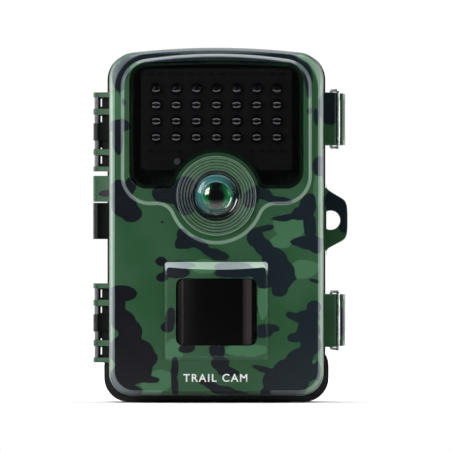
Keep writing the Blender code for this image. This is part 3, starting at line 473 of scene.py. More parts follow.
def domed_top(half_w, top, arch_r, corner_r, steps=14, arch_steps=14):
    arch_z = top - arch_r
    corner_z = arch_z + math.sqrt((arch_r - corner_r) ** 2 - (half_w - corner_r) ** 2)
    turn = math.degrees(math.atan2(corner_z - arch_z, half_w - corner_r))
    return arc(half_w - corner_r, corner_z, corner_r, 0, turn, steps) + arc(0, arch_z, arch_r, turn, 90, arch_steps)[1:]


def straight(start, end, steps):
    (x0, z0), (x1, z1) = start, end
    return [(x0 + (x1 - x0) * i / steps, z0 + (z1 - z0) * i / steps) for i in range(1, steps)]


def case_outline(half_w, bottom, top, inset=0.0, top_r=TOP_R, bottom_r=BOTTOM_R, arch_r=ARCH_R):
    w = half_w - inset
    low = arc(half_w - bottom_r, bottom + bottom_r, bottom_r - inset, -90, 0, 14)
    low[0] = (low[0][0], bottom + inset)
    high = domed_top(w, top - inset, arch_r - inset, top_r - inset)
    return mirrored([(0, low[0][1])] + low + straight(low[-1], high[0], 8) + high)


def rear_outline(inset):
    return case_outline(REAR_W, REAR_BOTTOM, REAR_TOP, inset)


def plate_outline(inset=0.0):
    w, corner, line_z, lobe, fillet = 37.7, 11.5, 77.8, 19.2, 6.0
    fillet_z = line_z - fillet
    fillet_x = math.sqrt((lobe + fillet) ** 2 - (LENS_Z - fillet_z) ** 2)
    turn = math.degrees(math.atan2(fillet_z - LENS_Z, fillet_x))
    half = arc(0, LENS_Z, lobe - inset, -90, turn, 20)
    half += arc(fillet_x, fillet_z, fillet + inset, turn + 180, 90, 10)
    half += arc(w - corner, line_z + corner, corner - inset, -90, 0, 14)
    return mirrored(half + domed_top(w - inset, 137.6 - inset, 190.0 - inset, 11.0 - inset))


def window_outline(inset=0.0):
    w, corner, line_z, bite, tip = 34.4, 7.0, 84.3, 17.0, 3.0
    tip_z = line_z + tip
    tip_x = math.sqrt((bite + tip) ** 2 - (tip_z - LENS_Z) ** 2)
    turn = math.degrees(math.atan2(tip_z - LENS_Z, tip_x))
    half = arc(0, LENS_Z, bite + inset, 90, turn, 16)
    half += arc(tip_x, tip_z, tip - inset, turn + 180, 270, 8)
    half += arc(w - corner, line_z + corner, corner - inset, -90, 0, 10)
    return mirrored(half + domed_top(w - inset, 135.0 - inset, 400.0, 7.0 - inset, 10, 10))


def round_rect(x0, x1, z0, z1, radius, steps=8):
    corners = ((x1, z0, -90), (x1, z1, 0), (x0, z1, 90), (x0, z0, 180))
    points = []
    for x, z, start in corners:
        cx = x - radius if x == x1 else x + radius
        cz = z + radius if z == z0 else z - radius
        points += arc(cx, cz, radius, start, start + 90, steps)
    return points


def arm_outline(cx, cy, radius, wall_x, y0, y1):
    side = 1 if wall_x > cx else -1
    turns = [math.radians(t) for t in range(90, 271, 10)]
    eye = [(cx + radius * math.cos(a) * side, cy + radius * math.sin(a)) for a in turns]
    return eye + [(wall_x, y0), (wall_x, y1)]


# ================= solids =================
SMOOTH = 32.0


def shown(name, data, paint=None):
    """An object in the scene, with its paint."""
    made = bpy.data.objects.new(name, data)
    bpy.context.scene.collection.objects.link(made)
    if paint:
        data.materials.clear()
        data.materials.append(paint)
    return made


def shade(mesh, smooth):
    """Smooth shading, with edges sharper than the angle kept sharp."""
    mesh.shade_smooth()
    mesh.set_sharp_from_angle(angle=math.radians(smooth))


def finished(name, bm, paint=None, smooth=SMOOTH):
    """The mesh in metres, closed up, with its faces outwards."""
    bmesh.ops.remove_doubles(bm, verts=bm.verts, dist=1e-4)
    bmesh.ops.recalc_face_normals(bm, faces=bm.faces)
    bmesh.ops.scale(bm, vec=(MM, MM, MM), verts=bm.verts)
    mesh = bpy.data.meshes.new(name)
    bm.to_mesh(mesh)
    bm.free()
    shade(mesh, smooth)
    return shown(name, mesh, paint)


def band(bm, low, high):
    """Faces between two rings of equal length."""
    for i in range(len(low)):
        j = (i + 1) % len(low)
        bm.faces.new((low[i], low[j], high[j], high[i]))


def skin(name, rings, paint=None, smooth=SMOOTH):
    """A closed solid through rings of points."""
    bm = bmesh.new()
    rings = [[bm.verts.new(point) for point in ring] for ring in rings]
    for low, high in zip(rings, rings[1:]):
        band(bm, low, high)
    bm.faces.new(rings[0])
    bm.faces.new(rings[-1])
    return finished(name, bm, paint, smooth)


def loft(name, sections, paint=None, smooth=SMOOTH):
    """A solid from front to back through outlines, each given as (y, outline)."""
    return skin(name, [[(x, y, z) for x, z in outline] for y, outline in sections], paint, smooth)


def slab(name, outline, y0, y1, paint=None):
    return loft(name, [(y0, outline), (y1, outline)], paint)


def box(name, x0, x1, y0, y1, z0, z1, paint=None):
    return slab(name, [(x0, z0), (x1, z0), (x1, z1), (x0, z1)], y0, y1, paint)


def upright(name, outline, z0, z1, paint=None):
    return skin(name, [[(x, y, z) for x, y in outline] for z in (z0, z1)], paint)


def turned(name, profile, centre, direction, paint=None, sides=64, smooth=SMOOTH):
    """A solid of revolution. The profile is (radius, height) up the axis."""
    bm = bmesh.new()
    turns = [2 * math.pi * i / sides for i in range(sides)]
    rings = []
    for radius, height in profile:
        spokes = [0.0] if radius < 1e-6 else turns
        radius = 0.0 if radius < 1e-6 else radius
        rings.append([bm.verts.new((radius * math.cos(a), radius * math.sin(a), height)) for a in spokes])
    closed = len(rings[0]) > 1
    pairs = list(zip(rings, rings[1:])) + ([(rings[-1], rings[0])] if closed else [])
    for low, high in pairs:
        for i in range(sides):
            j = (i + 1) % sides
            corners = (low[i % len(low)], low[j % len(low)], high[j % len(high)], high[i % len(high)])
            face = list(dict.fromkeys(corners))
            if len(face) > 2:
                bm.faces.new(face)
    turn = Vector((0, 0, 1)).rotation_difference(Vector(direction)).to_matrix().to_4x4()
    bmesh.ops.transform(bm, matrix=Matrix.Translation(centre) @ turn, verts=bm.verts)
    return finished(name, bm, paint, smooth)


def rod(name, start, end, radius, paint=None, sides=32, rounding=0.0):
    start, end = Vector(start), Vector(end)
    length, r = (end - start).length, rounding
    profile = [(0, 0), (radius, 0), (radius, length), (0, length)]
    if r:
        profile[1:3] = [(radius - r, 0), (radius, r), (radius, length - r), (radius - r, length)]
    return turned(name, profile, start, end - start, paint, sides)


def post(name, x, y, z, reach, radius, paint=None, sides=32, rounding=0.0):
    """An upright rod that reaches as far above a place as below it."""
    return rod(name, (x, y, z - reach), (x, y, z + reach), radius, paint, sides, rounding)


def rounded_corners(points, radius, steps=6):
    """A path with its corners turned into arcs."""
    path = [Vector(points[0])]
    for before, corner, after in zip(points, points[1:], points[2:]):
        before, corner, after = Vector(before), Vector(corner), Vector(after)
        reach = min(radius, (before - corner).length * 0.45, (after - corner).length * 0.45)
        start = corner + (before - corner).normalized() * reach
        end = corner + (after - corner).normalized() * reach
        for i in range(steps + 1):
            t = i / steps
            path.append(start * (1 - t) ** 2 + corner * 2 * t * (1 - t) + end * t**2)
    return path + [Vector(points[-1])]


def wire(name, points, radius, paint, sides=14):
    """A round wire along a path, closed with domed ends."""
    bm, path = bmesh.new(), [Vector(p) for p in points]
    tangents = [(b - a).normalized() for a, b in zip(path, path[1:])]
    tangents = [tangents[0]] + [(a + b).normalized() for a, b in zip(tangents, tangents[1:])] + [tangents[-1]]
    side = tangents[0].orthogonal().normalized()
    rings = []
    for point, along in zip(path, tangents):
        side = (side - along * side.dot(along)).normalized()
        up = along.cross(side)
        turns = [2 * math.pi * i / sides for i in range(sides)]
        rings.append([bm.verts.new(point + (side * math.cos(a) + up * math.sin(a)) * radius) for a in turns])
    for low, high in zip(rings, rings[1:]):
        band(bm, low, high)
    for end, along in ((0, -tangents[0]), (-1, tangents[-1])):
        tip = bm.verts.new(path[end] + along * radius * 0.4)
        for i in range(sides):
            bm.faces.new((rings[end][i], rings[end][(i + 1) % sides], tip))
    return finished(name, bm, paint, 60.0)


def combine(target, others, operation):
    """Adds or cuts with other solids, which are used up."""
    for other in others:
        modifier = target.modifiers.new("join", "BOOLEAN")
        modifier.operation, modifier.object, modifier.solver = operation, other, "EXACT"
    settle(target)
    for other in others:
        bpy.data.objects.remove(other)
    return target


def add(target, *others):
    return combine(target, others, "UNION")


def cut(target, *others):
    return combine(target, others, "DIFFERENCE")


def plain(target):
    """Turns an object and its modifiers into a plain mesh."""
    graph = bpy.context.evaluated_depsgraph_get()
    mesh = bpy.data.meshes.new_from_object(target.evaluated_get(graph))
    target.modifiers.clear()
    target.data, mesh.name = mesh, target.name
    return mesh


def settle(target, smooth=SMOOTH):
    shade(plain(target), smooth)
    return target


def soften(target, width=0.25, segments=2, angle=35.0):
    """Rounds every edge that is sharper than the angle."""
    modifier = target.modifiers.new("round", "BEVEL")
    modifier.width, modifier.segments, modifier.limit_method = width * MM, segments, "ANGLE"
    modifier.angle_limit = math.radians(angle)
    return settle(target)


class Maker:
    """A Geometry Nodes tree with named inputs, turned into a plain mesh at once."""

    def __init__(self, name):
        self.name, self.values, self.used, self.uses = name, {}, [], 0
        self.tree = bpy.data.node_groups.new(name, "GeometryNodeTree")
        self.tree.is_modifier = True
        for way in ("INPUT", "OUTPUT"):
            self.tree.interface.new_socket("Geometry", in_out=way, socket_type="NodeSocketGeometry")
        self.start, self.end = self.node("NodeGroupInput"), self.node("NodeGroupOutput")

    def node(self, kind, settings=None, sockets=None):
        node = self.tree.nodes.new(kind)
        for name, value in (settings or {}).items():
            setattr(node, name, value)
        for key, value in (sockets or {}).items():
            if isinstance(value, bpy.types.NodeSocket):
                self.tree.links.new(value, node.inputs[key])
            else:
                node.inputs[key].default_value = value
        return node

    def input(self, name, kind, value):
        item = self.tree.interface.new_socket(name, in_out="INPUT", socket_type=f"NodeSocket{kind}")
        self.values[item.identifier] = value
        return self.start.outputs[name]

    def copies(self, points, shape, jitter=0.0, seed=1):
        """Copies of a shape on points, each turned a little at random."""
        self.uses += 1
        suffix = f" {self.uses}" if self.uses > 1 else ""
        loose = self.input(f"Jitter{suffix}", "Float", jitter)
        draw = self.input(f"Seed{suffix}", "Int", seed)
        low = self.node("ShaderNodeMath", {"operation": "MULTIPLY"}, {0: loose, 1: -1.0}).outputs[0]
        spin = self.node("FunctionNodeRandomValue", {"data_type": "FLOAT"}, {2: low, 3: loose, "Seed": draw})
        turned_by = self.node("ShaderNodeCombineXYZ", None, {1: spin.outputs[1]}).outputs[0]
        sockets = {"Points": points, "Instance": shape, "Rotation": turned_by}
        return self.node("GeometryNodeInstanceOnPoints", None, sockets).outputs[0]

    def shape(self, made, name="Shape"):
        """A ready object as geometry. It leaves the scene with the tree's result."""
        self.used.append(made)
        info = self.node("GeometryNodeObjectInfo", None, {"Object": self.input(name, "Object", made)})
        return info.outputs["Geometry"]

    def finish(self, geometry, paint=None, smooth=SMOOTH):
        geometry = self.node("GeometryNodeRealizeInstances", None, {0: geometry}).outputs[0]
        if paint:
            sockets = {"Geometry": geometry, "Material": self.input("Paint", "Material", paint)}
            geometry = self.node("GeometryNodeSetMaterial", None, sockets).outputs[0]
        self.tree.links.new(geometry, self.end.inputs[0])
        made = shown(self.name, bpy.data.meshes.new(self.name))
        modifier = made.modifiers.new("make", "NODES")
        modifier.node_group = self.tree
        for identifier, value in self.values.items():
            modifier[identifier] = value
        settle(made, smooth)
        for used in self.used:
            bpy.data.objects.remove(used)
        return made


def at_points(maker, points):
    """Loose points, in millimetres, for copies to stand on."""
    bm = bmesh.new()
    for point in points:
        bm.verts.new(point)
    return maker.shape(finished(f"{maker.name}_points", bm), "Points")


def scattered(maker, points, piece, **turns):
    """A copy of a piece on each point."""
    return maker.finish(maker.copies(at_points(maker, points), maker.shape(piece), **turns))


def grid(maker, columns, rows, pitch_x, pitch_z, at):
    """Points on an upright grid round a place."""
    sockets = {
        "Size X": (columns - 1) * pitch_x * MM,
        "Size Y": max(rows - 1, 1) * pitch_z * MM,
        "Vertices X": columns,
        "Vertices Y": max(rows, 2),
    }
    flat = maker.node("GeometryNodeMeshGrid", None, sockets).outputs[0]
    sockets = {"Geometry": flat, "Translation": [v * MM for v in at], "Rotation": (math.radians(90), 0, 0)}
    return maker.node("GeometryNodeTransform", None, sockets).outputs[0]


def join(name, *made):
    """Several pieces as one object that keeps each one's material."""
    bpy.ops.object.select_all(action="DESELECT")
    for piece in made:
        piece.select_set(True)
    bpy.context.view_layer.objects.active = made[0]
    bpy.ops.object.join()
    made[0].name = name
    return made[0]


def place(piece, body, slot, *nodes):
    """The piece moves with a body, and stands for the named nodes."""
    if nodes:
        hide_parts(*nodes)
    # large flat faces keep their own normal, so that the small rounds beside them don't shade them
    modifier = piece.modifiers.new("even", "WEIGHTED_NORMAL")
    modifier.weight, modifier.keep_sharp = 60, True
    plain(piece)
    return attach(piece, body)


# ================= finishes =================
camo_front = camouflage("front camouflage")
camo_round = camouflage("camouflage round the sides", front=False)
black = moulded("black moulded plastic", (6, 6, 8), 0.34, 0.02, light=(34, 35, 38), Specular_IOR_Level=0.3)
gloss_black = moulded("polished black ring", (4, 4, 5), 0.1, 0.0, light=(30, 30, 32))
rubber = moulded("seal rubber", (16, 16, 17), 0.7, 0.05, 0.4, light=(60, 60, 62))
key_grey = moulded("key rubber", (132, 136, 139), 0.6, 0.04, 0.4, light=(190, 192, 194))
filter_black = lamp_filter("smoked lamp filter")
film = fresnel_film("motion window film")
glass = clear_glass("lens cover glass", (4, 6, 6), 0.05)
coating_and_glints = lens_coating_and_glints("lens coating")
lamp_board_paint = moulded("lamp board lacquer", (9, 10, 12), 0.45, light=(34, 38, 40))
lamp_glass = moulded("dark lamp resin", (14, 12, 16), 0.12, 0.0, light=(30, 28, 34))
# pale arcs painted in as the glints on the lamp domes
glint_white = moulded("lamp clip resin", (232, 234, 238), 0.4, light=(250, 250, 250))
sensor_grey = moulded("dusk sensor resin", (120, 124, 128), 0.2, light=(170, 172, 174))
print_white = moulded("white print", (226, 228, 226), 0.5, 0.01, 0.3, light=(244, 244, 244))
cover_black = moulded("inner cover", (16, 17, 18), 0.5, 0.05, 0.4, light=(48, 50, 52))
screen_black = moulded("screen", (6, 7, 10), 0.15, 0.0, light=(18, 20, 26))
lead_red = moulded("lead insulation", (120, 16, 14), 0.4, 0.01, light=(150, 40, 34))
card_blue = memory_card("memory card")
circuit = circuit_board("circuit board")
screen_glass = clear_glass("screen window", (40, 46, 52), 0.25)
cell_up = cell_jacket("cell jacket, nose up", 1)
cell_down = cell_jacket("cell jacket, nose down", -1)
bright_steel = metal("spring steel wire", (196, 198, 200), 0.22)
dark_steel = metal("hinge pin steel", (92, 94, 97), 0.35)
brass = metal("turned brass", (196, 158, 86), 0.28)


# ================= front half =================
def face_rim(t):
    """Outline between the side wall, t = 0, and the flat face, t = 1."""
    w = FRONT_W + (40.2 - FRONT_W) * t
    bottom, top = 2.6 + 2.0 * t, TOP_Z - 1.0 * t
    return case_outline(w, bottom, top, top_r=TOP_R + 3.4 * t, bottom_r=BOTTOM_R - 1.2 * t, arch_r=ARCH_R - 30.0 * t)


def front_shell():
    rim = [(-0.2, face_rim(0.0)), (-0.6, face_rim(0.0)), (-24.6, face_rim(0.0))]
    # the side turns into a sloping band, and the band into the face, over small rounds
    steps = ((-25.4, 0.02), (-26.1, 0.07), (-26.8, 0.16), (-28.2, 0.45), (-29.0, 0.68), (-29.4, 0.82), (-29.65, 0.93))
    rim += [(y, face_rim(t)) for y, t in steps] + [(FACE_Y, face_rim(1.06))]
    shell = loft("front_shell", rim, camo_front, 25.0)
    plate = [(FACE_Y + 1.5, plate_outline()), (FACE_Y - 0.10, plate_outline())]
    plate += [(FACE_Y - 0.45, plate_outline(0.12)), (PLATE_Y + 0.35, plate_outline(0.95))]
    plate += [(PLATE_Y + 0.12, plate_outline(1.15)), (PLATE_Y, plate_outline(1.45))]
    plate = loft("raised_plate", plate, None, 25.0)
    half = 20.3
    front = [(x, FRAME_Y + 1.1 * (x / half) ** 2) for x in across(half, 24)]
    bowed = upright("frame_bow", front + [(half, FACE_Y + 1.5), (-half, FACE_Y + 1.5)], 16.0, 56.0)
    base, top = round_rect(-half, half, 16.7, 55.4, 1.2), round_rect(-19.1, 19.1, 18.4, 52.2, 1.2)
    sections = [(FACE_Y + 2.0, base), (FACE_Y, base), (FACE_Y - 0.3, base), (FRAME_Y - 0.2, top)]
    sensor_frame = combine(loft("sensor_frame", sections), [bowed], "INTERSECT")
    # ears and the conduit on the left, the padlock lug and the catches on the right
    wall_x, ears = -FRONT_W + 1.5, []
    for z in HINGE_ZS:
        for low, high in EAR_SPANS:
            outline = arm_outline(HINGE_X, 0.0, 1.8, wall_x, -6.0, -3.0)
            ears.append(soften(upright("ear", outline, z + low, z + high), 0.2, 2))
    conduit = arm_outline(HINGE_X, 0.0, 1.9, wall_x, -6.0, -3.0)
    ears.append(soften(upright("conduit", conduit, 79.2, 89.5), 0.3, 3))
    ears.append(soften(slab("front_lug", lug_outline(FRONT_W - 1.5), -4.0, -0.3), 0.35, 3))
    hook = [(40.8, -11.0), (47.1, -11.0), (47.1, -8.9), (48.2, -8.9), (48.2, -4.0), (47.1, -1.0), (40.8, -1.0)]
    ears += [soften(upright("catch", hook, z - 10.5, z + 10.5), 0.3, 3) for z in LATCH_ZS]
    add(shell, plate, sensor_frame, *ears)
    inner = case_outline(FRONT_W, 2.6, TOP_Z, inset=2.0)
    inner_face = case_outline(38.6, 6.4, 137.7, top_r=12.4, bottom_r=6.4, arch_r=258.0)
    seat = window_outline(-0.15)
    cut(
        shell,
        loft("hollow", [(1.0, inner), (-24.6, inner), (FACE_Y + 2.4, inner_face)]),
        loft("window_seat", [(-28.7, seat), (PLATE_Y + 0.35, seat), (AHEAD, seat)]),
        slab("window_opening", window_outline(1.5), AHEAD, BEHIND),
        rod("bezel_hole", (0, AHEAD, LENS_Z), (0, BEHIND, LENS_Z), 15.95, sides=96),
        slab("sensor_opening", round_rect(-16.0, 16.0, 22.4, 49.0, 2.8), AHEAD, BEHIND),
        rod("sound_hole", (-21.3, AHEAD, 71.1), (-21.3, BEHIND, 71.1), 0.55, sides=20),
        lock_hole("lock_hole", -6.0, 2.0),
        rod("conduit_bore", (HINGE_X, 0, 70), (HINGE_X, 0, 87.2), 1.15),
        *[post("pin_hole", HINGE_X, 0, z, 16.5, 1.2) for z in HINGE_ZS],
    )
    return place(shell, "front_half", "camo", "front_case")


def across(half, steps):
    return [half * (2 * i / steps - 1) for i in range(steps + 1)]


def lug_outline(base_x):
    """The padlock lug seen from the front, with easy curves into the case."""
    corners = [(base_x, 57.6), (43.6, 60.4), (47.0, 62.2), (50.9, 64.2), (52.0, 66.6), (52.0, 77.4), (50.9, 80.0)]
    corners += [(46.9, 82.2), (43.6, 84.4), (base_x, 86.4)]
    smooth = [corners[0]]
    for before, corner, after in zip(corners, corners[1:], corners[2:]):
        a, b, c = Vector(before), Vector(corner), Vector(after)
        for t in (0.25, 0.5, 0.75):
            p = a.lerp(b, 0.5) * (1 - t) ** 2 + b * 2 * t * (1 - t) + b.lerp(c, 0.5) * t**2
            smooth.append((p.x, p.y))
    return smooth + [corners[-1]]


def lock_hole(name, y0, y1):
    turn = math.degrees(math.acos((REAR_W + 0.4 - LOCK_X) / LOCK_R))
    return slab(name, arc(LOCK_X, LOCK_Z, LOCK_R, -turn, turn, 40), y0, y1)


def lens_stack():
    at, ahead = (0, 0, LENS_Z), (0, -1, 0)
    # the bezel steps down to the glass in narrow rings
    profile = [(BEZEL_R, 27.0), (BEZEL_R, 34.0), (BEZEL_R - 0.12, 34.3), (BEZEL_R - 0.4, 34.5), (BEZEL_R - 0.8, 34.5)]
    radius, height = BEZEL_R - 0.95, 34.4
    for _ in range(4):
        profile += [(radius, height), (radius - 0.06, height - 0.74), (radius - 0.50, height - 0.78)]
        profile += sweep(radius - 0.86, height - 0.78, 0.2, 0.2, 0, 181, 30)
        radius, height = radius - 1.17, height - 0.69
    profile += [(radius, height), (radius - 0.05, 30.0), (8.9, 29.8), (8.9, 27.0)]
    bezel = turned("lens_surround", profile, at, ahead, camo_front, 96, 22.0)
    place(bezel, "front_half", "camo", "lens_bezel")
    arch = sweep(0, 30.6, 9.2, 2.6, 0, 91, 6)
    under = [(0.93 * r, h - 1.2) for r, h in reversed(arch)]
    dome = turned("lens_cover", [*under, (9.2, 30.1), *arch], at, ahead, glass, 96, 40.0)
    place(dome, "front_half", "glass", "lens_window")
    ring = turned("lens_retaining_ring", sweep(9.75, 31.1, 0.5, 0.5, 0, 360, 20), at, ahead, gloss_black, 96, 60.0)
    place(ring, "front_half", None)
    barrel = [(0, 16.6), (6.0, 16.6), (6.0, 22.0), (8.4, 23.0), (8.4, 28.2), (8.3, 28.4), (0, 28.4)]
    place(turned("lens_tube", barrel, at, ahead, black, 72, 25.0), "front_half", "black", "lens_barrel")
    element = [(0, 28.45), (8.6, 28.45), (8.6, 28.8), (8.4, 29.0), (8.2, 28.9)]
    for r in (7.6, 6.9, 6.2):
        element += [(r + 0.1, 28.85), (r, 28.95), (r - 0.1, 28.8)]
    element += [(5.7, 28.7), *sweep(0, 28.7, 5.6, 1.2, 6, 91, 6)]
    place(turned("first_element", element, at, ahead, coating_and_glints, 72, 40.0), "front_half", "coated", "front_element")


def lamp_window():
    steps = ((-28.9, 0.15), (-30.0, 0.15), (-30.18, 0.22), (-30.3, 0.42))
    pane = loft("lamp_window", [(y, window_outline(i)) for y, i in steps], filter_black, 25.0)
    place(pane, "front_half", "window", "ir_window")


def motion_window():
    half, bow, low, high = 15.7, 1.5, 22.7, 48.7
    front = [(x, -30.6 - bow * (1 - (abs(x) / half) ** 2.6)) for x in across(half, 40)]
    pane = upright("motion_window", front + [(half, -29.6), (-half, -29.6)], low, high, film)
    combine(pane, [slab("corners", round_rect(-half, half, low, high, 2.6), AHEAD, -28.0)], "INTERSECT")
    place(soften(pane, 0.3, 3, 50.0), "front_half", "fresnel", "pir_lens")


front_shell()
lens_stack()
lamp_window()
motion_window()


# ================= lamps behind the window =================
def lamps():
    board = slab("board", round_rect(-29.8, 29.8, 91.7, 131.8, 1.5), -24.4, -23.1, lamp_board_paint)
    maker = Maker("lamp_cans")
    nose = [(0, 0.1), (2.3, 0.1), (2.3, 2.0), *sweep(0, 2.0, 2.3, 1.5, 10, 91, 16)]
    can = turned("can", nose, (0, 0, 0), (0, -1, 0), lamp_glass, 28, 40.0)
    points = grid(maker, LAMP_COLUMNS, LAMP_ROWS, *LAMP_PITCH, (0, -24.4, LAMP_Z0 + 1.5 * LAMP_PITCH[1]))
    cans = maker.finish(maker.copies(points, maker.shape(can), jitter=0.5, seed=4))
    # painted glints: two pale arcs in front of each lamp stand for the reflections on its dome, and show through the
    # window
    maker, glint_arcs = Maker("lamp_clips"), []
    for rows, side in ((LAMP_ROWS, -1), (LAMP_ROWS - 1, 1)):
        angles = [math.radians(t) for t in range(-60, 61, 10)]
        path = [(1.6 * math.sin(a), -1.9, side * (0.1 + 0.85 * math.cos(a))) for a in angles]
        lip = wire("lip", path, 0.21, glint_white, 8)
        middle_z = LAMP_Z0 + (rows - 1) / 2 * LAMP_PITCH[1]
        points = grid(maker, LAMP_COLUMNS, rows, *LAMP_PITCH, (0, -25.9, middle_z))
        glint_arcs.append(maker.copies(points, maker.shape(lip, f"Lip {side}"), jitter=0.06, seed=9 + side))
    both = maker.node("GeometryNodeJoinGeometry")
    for part in glint_arcs:
        maker.tree.links.new(part, both.inputs[0])
    glint_pieces = maker.finish(both.outputs[0])
    # small resistors and a driver chip below the lamps
    maker = Maker("lamp_parts")
    chip = soften(box("chip", -0.9, 0.9, -0.5, 0.05, -0.45, 0.45, black), 0.08, 1)
    columns = range(-26, 27, 4)
    spots = [(x, -24.4, 99.0) for x in columns if abs(x) > 13] + [(x, -24.4, 129.6) for x in columns]
    parts = scattered(maker, spots, chip, jitter=0.05, seed=2)
    place(join("lamp_board_and_lamps", board, cans, glint_pieces, parts), "front_half", "board", "ir_led_board")
    dome = [(0, 24.9), (1.4, 24.9), (1.4, 27.6), (1.2, 28.1), (0.7, 28.4), (0, 28.4)]
    eye = turned("dusk_sensor", dome, (-15.4, 0, 95.1), (0, -1, 0), sensor_grey, 32)
    place(eye, "front_half", "lamp", "light_sensor")


# ================= latches =================
def latch(label, z):
    lever_body, bail_body = f"latch_lever_{label}_body", f"latch_bail_{label}_body"
    x0, x1, y0, y1 = 49.1, 50.5, 7.5, 31.0
    grip = [(x0, y0), (x1 - 0.7, y0), (x1 - 0.2, y0 + 0.3), (x1, y0 + 1.0), (x1, y1 - 7)]
    grip += [(x1 + 0.25, y1 - 4), (x1 + 0.6, y1 - 2), (x1 + 0.8, y1 - 0.8), (x1 + 0.6, y1 - 0.2), (x1 + 0.2, y1)]
    grip += [(x0 - 0.4, y1), (x0 - 0.6, y1 - 0.3), (x0 - 0.35, y1 - 3), (x0, y1 - 6)]
    lever = soften(upright("grip", grip, z - 10.3, z + 10.3, camo_round), 0.3, 3, 40.0)
    cheek = [(45.8, 8.0), (46.2, 7.6), (47.0, 7.4), (x0 + 0.7, y0 + 0.2), (x0 + 0.7, 18.5), (46.0, 16.5)]
    cheek += [(45.0, 16.3), (44.5, 15.9), (44.2, 15.1), (44.2, 14.4)]
    cheeks = []
    for side in (-1, 1):
        low, high = sorted((z + side * 7.6, z + side * 10.3))
        cheeks.append(soften(upright("cheek", cheek, low, high), 0.2, 2))
    add(lever, *cheeks)
    cut(lever, post("pin_bore", LEVER_X, LEVER_Y, z, 9.4, 1.0), post("wire_bore", BAIL_X, BAIL_Y, z, 14, 0.85))
    # finger ribs across the outer face
    maker = Maker(f"lever_ribs_{label}")
    rib = soften(box("rib", -0.15, 0.28, -0.35, 0.35, -8.2, 8.2, camo_round), 0.14, 2)
    count = maker.input("Ribs", "Int", 6)
    offset = maker.node("ShaderNodeCombineXYZ", None, {1: maker.input("Spacing", "Float", 1.9 * MM)}).outputs[0]
    sockets = {"Count": count, "Start Location": (x1 * MM, 12.0 * MM, z * MM), "Offset": offset}
    line = maker.node("GeometryNodeMeshLine", {"mode": "OFFSET"}, sockets).outputs[0]
    ribs = maker.finish(maker.copies(line, maker.shape(rib)))
    place(join(f"lever_{label}", lever, ribs), lever_body, "camo", f"latch_lever_{label}")
    points = []
    for side in (1, -1):
        half = [(BAIL_X, BAIL_Y, z + side * 8.2), (BAIL_X, BAIL_Y, z + side * 11.4), (48.2, -9.8, z + side * 11.4)]
        points += half if side == 1 else half[::-1]
    bail = wire(f"wire_bail_{label}", rounded_corners(points, 1.5), 0.6, bright_steel)
    place(bail, bail_body, "steel", f"latch_bail_{label}")
    pin = post(f"lever_pin_{label}", LEVER_X, LEVER_Y, z, 9.2, 0.8, dark_steel, 24, 0.15)
    place(pin, "rear_half", "steel", f"latch_pin_{label}")


# ================= rear half =================
def rear_rim():
    edges = [(0.2, 0.25), (0.45, 0.0), (5.75, 0.0), (6.0, 0.25)]
    rim = loft("rear_rim", [(y, rear_outline(i)) for y, i in edges], black)
    foot_outline = mirrored(arc(35.0, 9.5, 9.5, -90, 0, 14) + [(44.5, 14.0), (44.3, 16.2), (43.5, 18.5)])
    foot = soften(slab("foot", foot_outline, -6.0, 27.0), 0.5, 3, 60.0)
    round_hollow = mirrored(arc(34.5, 11.1, 9.0, -90, 0, 14) + [(43.5, 30.0)])
    cut(foot, slab("behind", round_hollow, 5.9, 40.0), slab("ahead", round_hollow, -20.0, 0.2))
    cut(foot, box("heart", -37.6, 37.6, -1, 8, 6.6, 40), box("front_trim", -60, 60, -20, 0.2, 2.1, 40))
    groove = cut(slab("groove", rear_outline(1.8), -1, 2.3), slab("core", rear_outline(4.0), -2, 4))
    cut(rim, slab("opening", rear_outline(5.6), -1, 8))
    add(rim, foot)
    cut(rim, groove)
    wall_x, knuckles, pads = -REAR_W + 2, [], []
    for z in HINGE_ZS:
        # the black leaf behind the ears is open between them
        pad = box("hinge_pad", -48.3, wall_x, 2.6, 5.9, z - 15.4, z + 15.4, black)
        slots = [(3.9, 6.4), (-8.9, -6.2), (-12.6, -9.6), (10.0, 13.2)]
        cut(pad, *[box("slot", -45.9, -45.4, 2.0, 7.0, z + a, z + b) for a, b in slots])
        pads.append(soften(pad, 0.2, 2))
        arm = arm_outline(HINGE_X, 0.0, 1.8, wall_x, 0.8, 5.4)
        knuckles.append(soften(upright("knuckle", arm, z - 3.45, z + 3.45), 0.2, 2))
    arm = arm_outline(HINGE_X, 0.0, 1.9, wall_x, 0.8, 5.4)
    knuckles.append(soften(upright("rear_conduit", arm, 64.4, 78.8), 0.3, 3))
    add(rim, *knuckles)
    cut(
        rim,
        *[post("pin_way", HINGE_X, 0, z, 16.5, 1.2) for z in HINGE_ZS],
        rod("lead_bore", (HINGE_X, 0, 68), (HINGE_X, 0, 90), 1.15),
        rod("lead_way", (HINGE_X + 0.1, 0, 70), (-35.0, 6.6, 70), 1.05, sides=20),
        rod("foot_socket", (0, SOCKET_Y, -2), (0, SOCKET_Y, 6), 4.6, sides=48),
    )
    place(join("rear_rim", rim, *pads), "rear_half", "black", "rear_frame")
    seal = cut(slab("door_seal", rear_outline(2.1), 0.25, 2.0, rubber), slab("core", rear_outline(3.7), -2, 4))
    place(soften(seal, 0.35, 3, 50.0), "rear_half", "rubber", "seal_gasket")


def back_outline(t):
    """The rear case between its side, t = 0, and its flat back, t = 1."""
    w = REAR_W - 7.2 * t
    return case_outline(w, 2.6 + 6.9 * t, 139.9 - 6.9 * t, top_r=10.5 - 1.5 * t, bottom_r=9.0 - 1.0 * t)


